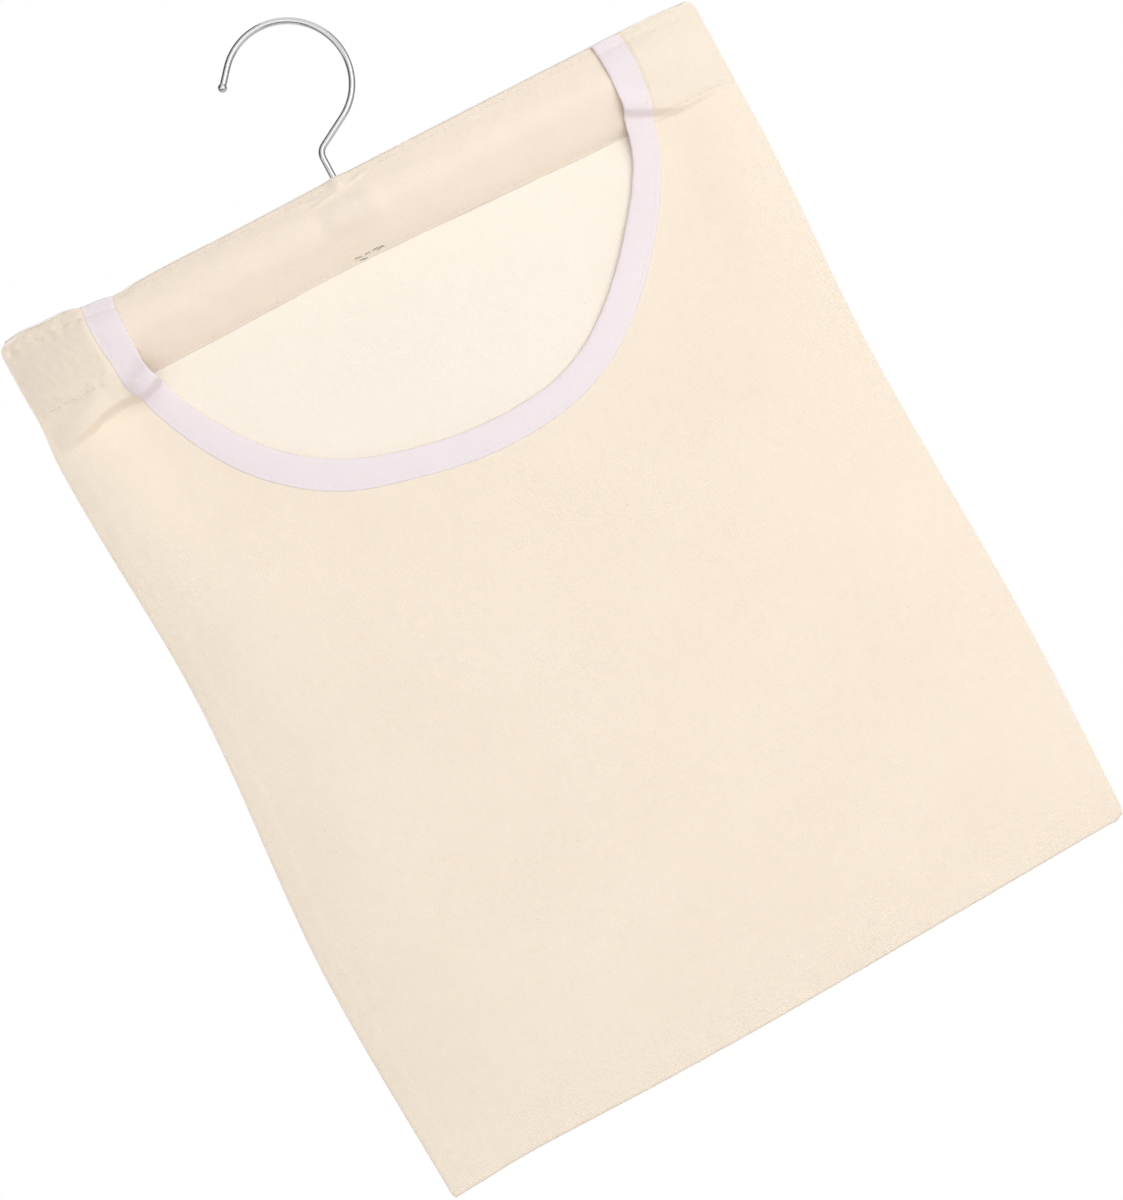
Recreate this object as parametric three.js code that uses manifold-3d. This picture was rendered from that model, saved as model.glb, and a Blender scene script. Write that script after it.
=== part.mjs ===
// Peg bag: a calico bag with a scooped, bound mouth, hung by a wire hook through a wooden bar.
// Millimetres, +Z up, +X to the right seen from the front, and -Y towards the front.
// The origin is the inside of the hook's crown, the point that rests on the clothes line.
import * as THREE from "three";
import { mergeVertices } from "three/addons/utils/BufferGeometryUtils.js";
import Module from "manifold-3d";

const wasm = await Module();
wasm.setup();

// Bag
const BAG_WIDTH = 310;
const BAG_HEIGHT = 380;
const BAG_OFFSET = 8; // the middle of the bag lies this far right of the hook's shank
const BOTTOM_CORNER_RADIUS = 6;
const CLOTH = 0.8; // one layer of calico with its nap
const BELLY = 8; // depth of the space between the panels of the empty bag
const SIDE_RUN = 44; // width over which the front panel rises from a side seam to its full depth
const BOTTOM_RUN = 72; // height over which it rises from the bottom seam
const SHOULDER_RUN = 40; // height over which it changes from the bar's form to the belly's

// Seams and threads
const SEAM_WIDTH = 9;
const SEAM_THICKNESS = 1.2;
const SEAM_INSET = 0.5; // the folded allowance stays this far inside the bag's edge
const THREAD = 0.7;
const TACK_WIDTH = 13;
const TACK_HEIGHT = 3.2;

// Mouth
const SHOULDER = 47; // from the bag's side to the mouth
const MOUTH_DEPTH = 119;
const BINDING_WIDTH = 12;
const BINDING = 0.6; // one layer of the tape
const BINDING_ROW = 1.8; // from the tape's outer edge to its stitches

// Bar and the sleeve that holds it
const BAR_DIAMETER = 10;
const BAR_CHAMFER = 1;
const BAR_END_PLAY = 2;
const TOP_EDGE = 10; // flat sewn edge above the bar
const TOP_ROW = 3; // from the top edge to its stitches
const CASING_HEIGHT = 35;
const CASING_HEM = 3; // flat sewn strip along the lower edge of the sleeve
const CASING_END_RUN = 26; // width over which the front panel falls from the sleeve's end to the side
const CORNER_ROW = 33; // from the top edge to the hem row on each front corner
const ROW_MARGIN = 3; // a row of stitches starts this far from an edge

// Hook and its fastening
const WIRE_DIAMETER = 2.8;
const CROOK_RADIUS = 25; // to the middle of the wire
const CROOK_OFFSET = 2; // the middle of the crook lies this far right of the shank
const CROOK_END = 140; // degrees round from the right-hand side, over the crown
const TIP_RUN = 8; // straight end of the wire after the crook
const KINK_DROP = 5; // from the lowest reach of the crook's circle to the bend above the shank
const KINK_RISE = 10.6; // from the bag's top edge to that bend
const BEND_RADIUS = 5;
const TIP_DIAMETER = 3.8;
const HEAD_DIAMETER = 4.8;
const HEAD_HEIGHT = 1.2;
const WASHER_DIAMETER = 8;
const WASHER_THICKNESS = 0.8;
const SEAT_DEPTH = 2; // flat cut into the underside of the bar for the washer
const SADDLE_WIDTH = 24;
const SADDLE_THICKNESS = 0.8;
const SADDLE_WRAP = 240; // degrees of the bar that the saddle plate covers

// Clearances
const CLEARANCE = 0.3; // between pieces that touch
const SHANK_CLEARANCE = 0.4; // round the shank, which turns

// Facets
const WIRE_SIDES = 10;
const WIRE_STEPS = 84;
const ROUND_SIDES = 28;
const THREAD_SIDES = 5;
const SHOULDER_STEPS = 8;
const MOUTH_STEPS = 22;
const MOUTH_CURVE = 24;
const CORNER_CURVE = 3;
const MERGE_DISTANCE = 1e-4;

// Places worked out from the sizes
const crookHeight = WIRE_DIAMETER / 2 - CROOK_RADIUS;
const kinkHeight = crookHeight - CROOK_RADIUS - KINK_DROP;
const bagTop = kinkHeight - KINK_RISE;
const bagBottom = bagTop - BAG_HEIGHT;
const bagHalf = BAG_WIDTH / 2;
const bagLeft = BAG_OFFSET - bagHalf;
const bagRight = BAG_OFFSET + bagHalf;
const barRadius = BAR_DIAMETER / 2;
const saddleInner = barRadius + CLEARANCE;
const saddleOuter = saddleInner + SADDLE_THICKNESS;
const sleeveRadius = saddleOuter + CLEARANCE; // inner face of the cloth round the bar
const barHeight = bagTop - TOP_EDGE - sleeveRadius;
const closedHalf = CLEARANCE / 2; // where the sleeve's two walls meet above the bar
const tapeSpace = BINDING + 2 * CLEARANCE; // room for the tape behind the front panel
const frontRadius = sleeveRadius + CLOTH + tapeSpace; // inner face of the front panel round the sleeve
const frontClosed = closedHalf + CLOTH + tapeSpace;
const bellyFront = BELLY - sleeveRadius;
const seamSpace = SEAM_THICKNESS + 2 * CLEARANCE;
const seamMargin = SEAM_INSET + SEAM_WIDTH + CLEARANCE;
const sleeveEdge = SEAM_INSET + CLEARANCE + CLOTH; // flat edge of the front panel beside the sleeve
const casingHalf = bagHalf - sleeveEdge - CASING_END_RUN - CLEARANCE;
const casingBottom = bagTop - CASING_HEIGHT;
const hemTop = casingBottom + CASING_HEM;
const mouthHalf = bagHalf - SHOULDER;
const boreRadius = WIRE_DIAMETER / 2 + SHANK_CLEARANCE;
const seatHeight = barHeight - barRadius + SEAT_DEPTH;
const washerTop = seatHeight - CLEARANCE;
const headTop = washerTop - WASHER_THICKNESS - CLEARANCE;

const radians = THREE.MathUtils.degToRad;
const lerp = THREE.MathUtils.lerp;

// Whole steps from one number to another, both ends included
function spread(from, to, steps) {
  return Array.from({ length: steps + 1 }, (_, i) => lerp(from, to, i / steps));
}

// A share from 0 to 1 that starts steep and ends level, as cloth leaves a seam
function swell(share) {
  const rest = 1 - THREE.MathUtils.clamp(share, 0, 1);
  return 1 - rest * rest;
}

// A closed mesh as a solid that can be joined and cut
function toSolid(geometry) {
  const bare = geometry.clone();
  bare.deleteAttribute("normal");
  bare.deleteAttribute("uv");
  const merged = mergeVertices(bare, MERGE_DISTANCE);
  return new wasm.Manifold(
    new wasm.Mesh({
      numProp: 3,
      vertProperties: merged.attributes.position.array,
      triVerts: new Uint32Array(merged.index.array),
    }),
  );
}

function toGeometry(solid) {
  const mesh = solid.getMesh();
  const geometry = new THREE.BufferGeometry();
  geometry.setAttribute("position", new THREE.BufferAttribute(mesh.vertProperties, 3));
  geometry.setIndex(new THREE.BufferAttribute(mesh.triVerts, 1));
  geometry.computeVertexNormals();
  return geometry;
}

function cut(geometry, ...cutters) {
  const solid = cutters.reduce((left, cutter) => left.subtract(toSolid(cutter)), toSolid(geometry));
  return toGeometry(solid);
}

function join(geometry, ...others) {
  const solid = others.reduce((sum, other) => sum.add(toSolid(other)), toSolid(geometry));
  return toGeometry(solid);
}

function trim(geometry, keep) {
  return toGeometry(toSolid(geometry).intersect(toSolid(keep)));
}

// A mesh from points and triangles, with its faces turned outwards
function closedMesh(points, triangles) {
  const volume = triangles.reduce((sum, [a, b, c]) => {
    const across = new THREE.Vector3().crossVectors(points[b], points[c]);
    return sum + points[a].dot(across);
  }, 0);
  const outward = volume > 0 ? triangles : triangles.map(([a, b, c]) => [a, c, b]);
  const geometry = new THREE.BufferGeometry().setFromPoints(points);
  geometry.setIndex(outward.flat());
  geometry.computeVertexNormals();
  return geometry;
}

// Loops of points joined into one tube, closed at both ends by the triangles of the flat section,
// which runs anticlockwise
function sweep(loops, section) {
  const size = section.length;
  const last = (loops.length - 1) * size;
  const triangles = [];
  for (let row = 0; row < last; row += size) {
    for (let i = 0; i < size; i += 1) {
      const next = (i + 1) % size;
      triangles.push([row + i, row + next, row + size + i]);
      triangles.push([row + next, row + size + next, row + size + i]);
    }
  }
  for (const [a, b, c] of THREE.ShapeUtils.triangulateShape(section, [])) {
    triangles.push([a, c, b]);
    triangles.push([last + a, last + b, last + c]);
  }
  return closedMesh(loops.flat(), triangles);
}

// A section in Y and Z carried along X
function alongX(shape, from, to) {
  const geometry = new THREE.ExtrudeGeometry(shape, { depth: to - from, bevelEnabled: false });
  const turn = new THREE.Matrix4().makeBasis(
    new THREE.Vector3(0, 1, 0),
    new THREE.Vector3(0, 0, 1),
    new THREE.Vector3(1, 0, 0),
  );
  return geometry.applyMatrix4(turn).translate(from, 0, 0);
}

// An outline in X and Z, seen from the front, carried from one depth to another
function throughY(shape, back, front, curveSegments = CORNER_CURVE) {
  const options = { depth: back - front, bevelEnabled: false, curveSegments };
  const geometry = new THREE.ExtrudeGeometry(shape, options);
  return geometry.rotateX(Math.PI / 2).translate(0, back, 0);
}

// A folded sheet's section: a line given its thickness, half to each side
function ribbon(line, thickness) {
  const runs = line.slice(1).map((point, i) => point.clone().sub(line[i]).normalize());
  const offsets = line.map((_, i) => {
    const before = runs[Math.max(i - 1, 0)];
    const after = runs[Math.min(i, runs.length - 1)];
    const along = before.clone().add(after).normalize();
    const reach = thickness / 2 / along.dot(before);
    return new THREE.Vector2(-along.y, along.x).multiplyScalar(reach);
  });
  const left = line.map((point, i) => point.clone().add(offsets[i]));
  const right = line.map((point, i) => point.clone().sub(offsets[i]));
  return new THREE.Shape([...left, ...right.reverse()]);
}

// Points round the bar in Y and Z, in degrees from the back over the top
function roundBar(radius, from, to, steps) {
  return spread(from, to, steps).map((angle) => {
    const turn = radians(angle);
    return new THREE.Vector2(radius * Math.cos(turn), barHeight + radius * Math.sin(turn));
  });
}

function polygon(radius, sides) {
  return spread(0, 2 * Math.PI, sides)
    .slice(0, sides)
    .map((turn) => new THREE.Vector2(radius * Math.cos(turn), radius * Math.sin(turn)));
}

function upright(radius, from, to, sides = ROUND_SIDES) {
  const geometry = new THREE.CylinderGeometry(radius, radius, to - from, sides);
  return geometry.rotateX(Math.PI / 2).translate(0, 0, (from + to) / 2);
}

// Half depth of a layer that lies round the bar and closes to a flat edge above it
function wrapDepth(height, radius, closed) {
  const rise = height - barHeight;
  if (rise <= 0) return radius;
  const span = radius * radius - rise * rise;
  return span > closed * closed ? Math.sqrt(span) : closed;
}

// Depth of the front panel's inner face, or of a layer that lies outside it by the given distance
function frontDepth(x, height, outside = 0) {
  const edge = bagHalf - Math.abs(x - BAG_OFFSET);
  const below = barHeight - height;
  const easing = THREE.MathUtils.smoothstep(below, 0, SHOULDER_RUN);
  const crest = below < 0
    ? wrapDepth(height, frontRadius + outside, frontClosed + outside)
    : lerp(frontRadius, bellyFront, easing) + outside;
  const seam = wrapDepth(height, sleeveRadius, closedHalf) - seamSpace - outside;
  const beside = swell((edge - sleeveEdge) / CASING_END_RUN);
  const side = swell((edge - seamMargin) / SIDE_RUN);
  const rise = swell((height - bagBottom - seamMargin) / BOTTOM_RUN);
  return lerp(seam, -crest, lerp(beside, side, easing) * rise);
}

// Outline of the bag, with the two bottom corners turned round
function bagOutline(inset, top) {
  const radius = BOTTOM_CORNER_RADIUS - inset;
  const [left, right, low] = [bagLeft + inset, bagRight - inset, bagBottom + inset];
  const outline = new THREE.Shape();
  outline.moveTo(right, top);
  outline.lineTo(left, top);
  outline.lineTo(left, low + radius);
  outline.absarc(left + radius, low + radius, radius, Math.PI, 1.5 * Math.PI, false);
  outline.lineTo(right - radius, low);
  outline.absarc(right - radius, low + radius, radius, 1.5 * Math.PI, 2 * Math.PI, false);
  return outline;
}

const shankHole = () => upright(boreRadius, headTop, kinkHeight);

// Wire hook: headed shank, bend, slope, round crook and a straight end with a balled tip
function makeHook() {
  const reach = Math.hypot(CROOK_OFFSET, crookHeight - kinkHeight);
  const lean = Math.atan2(CROOK_OFFSET, crookHeight - kinkHeight);
  const turn = lean + Math.asin(CROOK_RADIUS / reach);
  const bendStart = kinkHeight - BEND_RADIUS * Math.tan(turn / 2);
  const end = radians(CROOK_END);
  const endX = CROOK_OFFSET + CROOK_RADIUS * Math.cos(end);
  const endHeight = crookHeight + CROOK_RADIUS * Math.sin(end);
  const tipX = endX - TIP_RUN * Math.sin(end);
  const tipHeight = endHeight + TIP_RUN * Math.cos(end);
  const line = new THREE.Path();
  line.moveTo(0, headTop - HEAD_HEIGHT / 2);
  line.lineTo(0, bendStart);
  line.absarc(BEND_RADIUS, bendStart, BEND_RADIUS, Math.PI, Math.PI - turn, true);
  line.absarc(CROOK_OFFSET, crookHeight, CROOK_RADIUS, -turn, end, false);
  line.lineTo(tipX, tipHeight);
  const points = line.getSpacedPoints(WIRE_STEPS).map((p) => new THREE.Vector3(p.x, 0, p.y));
  const wire = new THREE.ExtrudeGeometry(new THREE.Shape(polygon(WIRE_DIAMETER / 2, WIRE_SIDES)), {
    steps: WIRE_STEPS,
    bevelEnabled: false,
    extrudePath: new THREE.CatmullRomCurve3(points),
  });
  const ball = new THREE.SphereGeometry(TIP_DIAMETER / 2, WIRE_SIDES, WIRE_SIDES);
  ball.translate(tipX, 0, tipHeight);
  const head = upright(HEAD_DIAMETER / 2, headTop - HEAD_HEIGHT, headTop, 2 * WIRE_SIDES);
  return join(wire, ball, head);
}

// Round wooden bar with the shank's hole and a flat seat under it
function makeBar() {
  const half = casingHalf - BAR_END_PLAY;
  const profile = [
    new THREE.Vector2(0, -half),
    new THREE.Vector2(barRadius - BAR_CHAMFER, -half),
    new THREE.Vector2(barRadius, BAR_CHAMFER - half),
    new THREE.Vector2(barRadius, half - BAR_CHAMFER),
    new THREE.Vector2(barRadius - BAR_CHAMFER, half),
    new THREE.Vector2(0, half),
  ];
  const bar = new THREE.LatheGeometry(profile, ROUND_SIDES);
  bar.rotateZ(-Math.PI / 2).translate(BAG_OFFSET, 0, barHeight);
  const seatWidth = WASHER_DIAMETER + 2 * CLEARANCE;
  const seat = new THREE.BoxGeometry(seatWidth, BAR_DIAMETER, barRadius);
  seat.translate(0, 0, seatHeight - barRadius / 2);
  return cut(bar, seat, shankHole());
}

// Bent steel plate that spreads the hook's pull over the bar
function makeSaddle() {
  const [from, to] = [90 - SADDLE_WRAP / 2, 90 + SADDLE_WRAP / 2];
  const outer = roundBar(saddleOuter, from, to, ROUND_SIDES);
  const inner = roundBar(saddleInner, to, from, ROUND_SIDES);
  const plate = alongX(new THREE.Shape([...outer, ...inner]), -SADDLE_WIDTH / 2, SADDLE_WIDTH / 2);
  return cut(plate, shankHole());
}

function makeWasher() {
  const washer = upright(WASHER_DIAMETER / 2, washerTop - WASHER_THICKNESS, washerTop);
  return cut(washer, shankHole());
}

// Flat back panel that turns forward over the bar to the sewn top edge
function makeBackPanel() {
  const middle = sleeveRadius + CLOTH / 2;
  const closed = closedHalf + CLOTH / 2;
  const over = THREE.MathUtils.radToDeg(Math.acos(closed / middle));
  const line = [
    new THREE.Vector2(middle, bagBottom),
    ...roundBar(middle, 0, over, ROUND_SIDES / 4),
    new THREE.Vector2(closed, bagTop),
  ];
  const panel = alongX(ribbon(line, CLOTH), bagLeft, bagRight);
  const outline = throughY(bagOutline(0, bagTop + CLOTH), middle + CLOTH, -CLOTH);
  return cut(trim(panel, outline), shankHole());
}

// Facing strip that holds the bar against the back panel
function makeCasing() {
  const middle = sleeveRadius + CLOTH / 2;
  const closed = closedHalf + CLOTH / 2;
  const hem = new THREE.Vector2(sleeveRadius - CLEARANCE - CLOTH / 2, hemTop);
  const reach = Math.hypot(hem.x, hem.y - barHeight);
  const leave = 2 * Math.PI + Math.atan2(hem.y - barHeight, hem.x) - Math.acos(middle / reach);
  const from = 180 - THREE.MathUtils.radToDeg(Math.acos(closed / middle));
  const line = [
    new THREE.Vector2(-closed, bagTop),
    ...roundBar(middle, from, THREE.MathUtils.radToDeg(leave), ROUND_SIDES / 2),
    hem,
    new THREE.Vector2(hem.x, casingBottom),
  ];
  const strip = alongX(ribbon(line, CLOTH), BAG_OFFSET - casingHalf, BAG_OFFSET + casingHalf);
  return cut(strip, shankHole());
}

// Heights where the cloth bends over the bar, from the top edge down to the foot of the shoulder
function shoulderHeights() {
  const shoulders = [CLOTH + CLEARANCE + BINDING, CLOTH].map((outside) => {
    const turn = Math.acos((frontClosed + outside) / (frontRadius + outside));
    return barHeight + (frontRadius + outside) * Math.sin(turn);
  });
  const turns = spread(Math.acos(frontClosed / frontRadius), 0, ROUND_SIDES / 4);
  return [
    bagTop,
    ...shoulders,
    ...turns.map((turn) => barHeight + frontRadius * Math.sin(turn)),
    ...spread(barHeight, barHeight - SHOULDER_RUN, SHOULDER_STEPS).slice(1),
  ];
}

// Bulged front panel with the mouth cut out of it
function makeFrontPanel() {
  const insets = [
    0,
    ...spread(sleeveEdge, sleeveEdge + CASING_END_RUN, 3),
    ...spread(seamMargin, seamMargin + SIDE_RUN, 7),
    ...spread(seamMargin + SIDE_RUN, bagHalf, 2).slice(1),
  ].sort((a, b) => a - b);
  const columns = [
    ...insets.map((inset) => bagLeft + inset),
    ...insets.slice(0, -1).reverse().map((inset) => bagRight - inset),
  ];
  const heights = [
    ...shoulderHeights(),
    ...spread(barHeight - SHOULDER_RUN, bagBottom + seamMargin + BOTTOM_RUN, 2).slice(1),
    ...spread(bagBottom + seamMargin + BOTTOM_RUN, bagBottom + seamMargin, 6).slice(1),
    bagBottom,
  ];
  const loops = columns.map((x) => [
    ...heights.map((z) => new THREE.Vector3(x, frontDepth(x, z, CLOTH), z)),
    ...heights.map((z) => new THREE.Vector3(x, frontDepth(x, z), z)).reverse(),
  ]);
  const section = loops[0].map((point) => new THREE.Vector2(point.y, point.z));
  const panel = sweep(loops, section);
  const deep = Math.max(bellyFront, frontRadius) + 2 * CLOTH;
  const outline = throughY(bagOutline(0, bagTop + CLOTH), sleeveRadius, -deep);
  const edge = BINDING + CLEARANCE;
  const [halfWidth, depth] = [mouthHalf + edge, MOUTH_DEPTH + edge];
  const mouth = new THREE.Shape();
  mouth.moveTo(BAG_OFFSET - halfWidth, bagTop + CLOTH);
  mouth.absellipse(BAG_OFFSET, bagTop, halfWidth, depth, Math.PI, 2 * Math.PI, false);
  mouth.lineTo(BAG_OFFSET + halfWidth, bagTop + CLOTH);
  return cut(trim(panel, outline), throughY(mouth, sleeveRadius, -deep, MOUTH_CURVE));
}

// Turns round the mouth's half ellipse, at the panel's own heights where the cloth bends over the bar
function mouthTurns() {
  const start = shoulderHeights().map((height) => Math.asin((bagTop - height) / MOUTH_DEPTH));
  const lowest = start[start.length - 1];
  const round = spread(lowest, Math.PI - lowest, MOUTH_STEPS).slice(1, -1);
  return [...start, ...round, ...start.map((turn) => Math.PI - turn).reverse()];
}

// A point at a distance out from the mouth's edge, and the direction away from the mouth.
// Over the bar the direction stays level, so that the tape bends with the panel.
function besideMouth(turn, distance) {
  const height = bagTop - MOUTH_DEPTH * Math.sin(turn);
  const below = THREE.MathUtils.smoothstep(barHeight - height, 0, SHOULDER_RUN / 2);
  const away = new THREE.Vector2(Math.cos(turn) / mouthHalf, -below * Math.sin(turn) / MOUTH_DEPTH);
  away.normalize();
  const x = BAG_OFFSET + mouthHalf * Math.cos(turn) + distance * away.x;
  return { x, z: height + distance * away.y, away };
}

// Tape folded over the mouth's edge, one leaf in front of the panel and one behind
function makeBinding() {
  const inner = CLEARANCE;
  const outer = CLEARANCE + BINDING;
  const widths = [BINDING_WIDTH, BINDING_WIDTH / 2];
  const front = [...widths, 0].map((w) => new THREE.Vector2(w, CLOTH + outer));
  const back = [0, ...widths.toReversed()].map((w) => new THREE.Vector2(w, -outer));
  const backInside = [...widths, BINDING].map((w) => new THREE.Vector2(w, -inner));
  const frontInside = [BINDING, ...widths.toReversed()].map((w) => new THREE.Vector2(w, CLOTH + inner));
  const section = [...front, ...back, ...backInside, ...frontInside];
  const loops = mouthTurns().map((turn) =>
    section.map((point) => {
      const { x, z } = besideMouth(turn, point.x);
      return new THREE.Vector3(x, frontDepth(x, z, point.y), z);
    }),
  );
  return sweep(loops, section);
}

// A straight-running thread through points, with its section square to X
function threadAcross(points) {
  const section = polygon(THREAD / 2, THREAD_SIDES);
  const loops = points.map((point) =>
    section.map((p) => new THREE.Vector3(point.x, point.y + p.x, point.z + p.y)),
  );
  return sweep(loops, section);
}

function makeBindingStitching() {
  const section = polygon(THREAD / 2, THREAD_SIDES);
  const outside = CLOTH + CLEARANCE + BINDING + CLEARANCE + THREAD / 2;
  const turns = mouthTurns().slice(1, -1);
  const loops = turns.map((turn) => {
    const { x, z, away } = besideMouth(turn, BINDING_WIDTH - BINDING_ROW);
    const depth = frontDepth(x, z, outside);
    return section.map((p) => new THREE.Vector3(x + p.x * away.x, depth + p.y, z + p.x * away.y));
  });
  return sweep(loops, section);
}

// Top row on one side of the hook: over the corner, the tape's end and the sleeve
function makeTopStitching(side) {
  const height = bagTop - TOP_ROW;
  const gap = CLEARANCE + THREAD / 2;
  const onCasing = -(closedHalf + CLOTH + gap);
  const onPanel = -(frontClosed + CLOTH + gap);
  const onTape = onPanel - CLEARANCE - BINDING;
  const step = THREAD + 2 * CLEARANCE;
  const tapeInner = mouthHalf - step;
  const tapeOuter = mouthHalf + BINDING_WIDTH + step;
  const start = side * (boreRadius + ROW_MARGIN);
  const middle = (distance) => BAG_OFFSET + side * distance;
  return threadAcross([
    new THREE.Vector3(start, onCasing, height),
    new THREE.Vector3(middle(tapeInner - step), onCasing, height),
    new THREE.Vector3(middle(tapeInner), onTape, height),
    new THREE.Vector3(middle(tapeOuter), onTape, height),
    new THREE.Vector3(middle(tapeOuter + step), onPanel, height),
    new THREE.Vector3(middle(bagHalf - ROW_MARGIN), onPanel, height),
  ]);
}

function makeCasingStitching() {
  const depth = sleeveRadius - CLEARANCE - CLOTH - CLEARANCE - THREAD / 2;
  const height = (hemTop + casingBottom) / 2;
  const reach = casingHalf - ROW_MARGIN;
  return threadAcross([-reach, reach].map((x) => new THREE.Vector3(BAG_OFFSET + x, depth, height)));
}

// Hem row on one front corner, from beside the tape to the bag's side
function makeCornerStitching(side) {
  const height = bagTop - CORNER_ROW;
  const outside = CLOTH + 2 * CLEARANCE + THREAD / 2;
  const places = spread(mouthHalf + BINDING_WIDTH + ROW_MARGIN, bagHalf - sleeveEdge - ROW_MARGIN, 5);
  return threadAcross(
    places.map((place) => {
      const x = BAG_OFFSET + side * place;
      return new THREE.Vector3(x, frontDepth(x, height, outside), height);
    }),
  );
}

// Dark thread tack over the sleeve's lower row, under the hook
function makeTack() {
  const back = sleeveRadius - CLEARANCE - CLOTH - CLEARANCE - THREAD - CLEARANCE;
  const height = (hemTop + casingBottom) / 2;
  const tack = new THREE.BoxGeometry(TACK_WIDTH, THREAD, TACK_HEIGHT);
  return tack.translate(0, back - THREAD / 2, height);
}

// Folded seam allowance between the panels at one side
function makeSideSeam(side) {
  const back = sleeveRadius - CLEARANCE;
  const low = bagBottom + SEAM_INSET + SEAM_WIDTH + CLEARANCE;
  const seam = new THREE.BoxGeometry(SEAM_WIDTH, SEAM_THICKNESS, barHeight - low);
  const x = BAG_OFFSET + side * (bagHalf - SEAM_INSET - SEAM_WIDTH / 2);
  return seam.translate(x, back - SEAM_THICKNESS / 2, (barHeight + low) / 2);
}

function makeBottomSeam() {
  const back = sleeveRadius - CLEARANCE;
  const outline = bagOutline(SEAM_INSET, bagBottom + SEAM_INSET + SEAM_WIDTH);
  return throughY(outline, back, back - SEAM_THICKNESS);
}

const group = new THREE.Group();

function add(name, geometry, look) {
  const mesh = new THREE.Mesh(geometry, new THREE.MeshStandardMaterial(look));
  mesh.name = name;
  group.add(mesh);
}

const calico = { color: 0xf7e8d4, roughness: 0.95, metalness: 0 };
const tape = { color: 0xf1e9ec, roughness: 0.9, metalness: 0 };
const thread = { color: 0xf3e8d8, roughness: 0.8, metalness: 0 };
const darkThread = { color: 0x5a5652, roughness: 0.8, metalness: 0 };
const wood = { color: 0xd9b98a, roughness: 0.7, metalness: 0 };
const platedWire = { color: 0xc9cbd0, roughness: 0.22, metalness: 1 };
const zincPlate = { color: 0xa9adb1, roughness: 0.45, metalness: 1 };

add("hook", makeHook(), platedWire);
add("hook_washer", makeWasher(), zincPlate);
add("hook_saddle", makeSaddle(), zincPlate);
add("hanger_bar", makeBar(), wood);
add("back_panel", makeBackPanel(), calico);
add("bar_casing", makeCasing(), calico);
add("front_panel", makeFrontPanel(), calico);
add("mouth_binding", makeBinding(), tape);
add("left_seam", makeSideSeam(-1), calico);
add("right_seam", makeSideSeam(1), calico);
add("bottom_seam", makeBottomSeam(), calico);
add("binding_stitching", makeBindingStitching(), thread);
add("top_stitching_left", makeTopStitching(-1), thread);
add("top_stitching_right", makeTopStitching(1), thread);
add("casing_stitching", makeCasingStitching(), thread);
add("corner_stitching_left", makeCornerStitching(-1), thread);
add("corner_stitching_right", makeCornerStitching(1), thread);
add("hook_tack", makeTack(), darkThread);

export default group;
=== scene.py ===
"""Peg bag: a calico bag with a scooped, taped mouth on a wooden bar, hung by a wire hook.

Sizes are millimetres in the part's frame until a mesh is made, and meshes are in metres. The front faces
minus Y. Each cloth is a function of its flat coordinates, so tape and stitches lie on the cloth they join.
"""
import math

import bpy
import numpy as np
from mathutils import Matrix, Vector


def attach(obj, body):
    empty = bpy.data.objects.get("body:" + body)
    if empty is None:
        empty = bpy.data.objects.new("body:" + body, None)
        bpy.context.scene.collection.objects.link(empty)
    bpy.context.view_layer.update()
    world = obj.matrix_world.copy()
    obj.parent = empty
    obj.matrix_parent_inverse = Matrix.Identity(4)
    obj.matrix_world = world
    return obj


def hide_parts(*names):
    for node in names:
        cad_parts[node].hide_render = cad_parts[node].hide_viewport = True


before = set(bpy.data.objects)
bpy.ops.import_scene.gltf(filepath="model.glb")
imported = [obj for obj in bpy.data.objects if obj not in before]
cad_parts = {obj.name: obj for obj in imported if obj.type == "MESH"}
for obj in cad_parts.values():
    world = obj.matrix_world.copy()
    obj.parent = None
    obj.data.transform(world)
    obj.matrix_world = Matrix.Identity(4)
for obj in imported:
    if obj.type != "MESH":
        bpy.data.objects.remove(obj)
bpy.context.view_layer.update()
scene = bpy.context.scene

MM = 0.001
SEED = 11

# Camera, in metres
CAMERA_PLACE = (-0.06905, -0.7934, -0.25309)
CAMERA_AIM = (0.00105, 0.0, -0.25618)
CAMERA_UP = (0.46851, -0.03797, 0.88264)
SENSOR = 36.0
LENS = 64.11

# Outline of the bag, and how far its edges wave from straight lines
TOP = -65.0
BOTTOM = -444.2
LEFT = -147.0
RIGHT = 163.0
MIDDLE = 8.0
TOP_SWAY = (
    (-150, 1.2), (-145, 1.8), (-138, 2.2), (-131, 1.5), (-118, 0.8), (-111, -0.7), (-105, -1.2), (-98, -2.3),
    (-87, -1.5), (-70, -1.0), (-50, -1.0), (0, -0.2), (60, 0.3), (130, 0.5), (148, 0.6), (158, 0.4),
    (166, 0.0),
)
BOTTOM_SWAY = (
    (-152, -0.5), (-140, -0.1), (-115, 0.9), (-90, 0.5), (-58, -0.3), (-20, -0.6), (90, 1.0), (140, 2.0),
    (155, 2.2), (166, 1.8),
)
LEFT_SWAY = (
    (-445, -0.4), (-346, -4.2), (-216, 2.4), (-135, -1.6), (-116, -2.0), (-99, -0.9), (-85, -1.3),
    (-60, -1.5),
)
RIGHT_SWAY = ((-445, 0.8), (-365, 2.2), (-215, -1.8), (-130, 1.2), (-100, 0.9), (-60, 0.5))
TOP_CORNER = 3.5
BOTTOM_CORNERS = (0.8, 4.5)

# Depths shared by the cloths, and their thickness
BAR_HEIGHT = -80.6
SEAM_DEPTH = 4.2
SEAM_START = 0.5
BACK_DEPTH = 6.9
CLOTH = 0.5

# Steps between the points of the large cloths
CLOTH_STEP = 2.2
FINE_STEP = 0.8
FINE_REACH = 70

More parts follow.
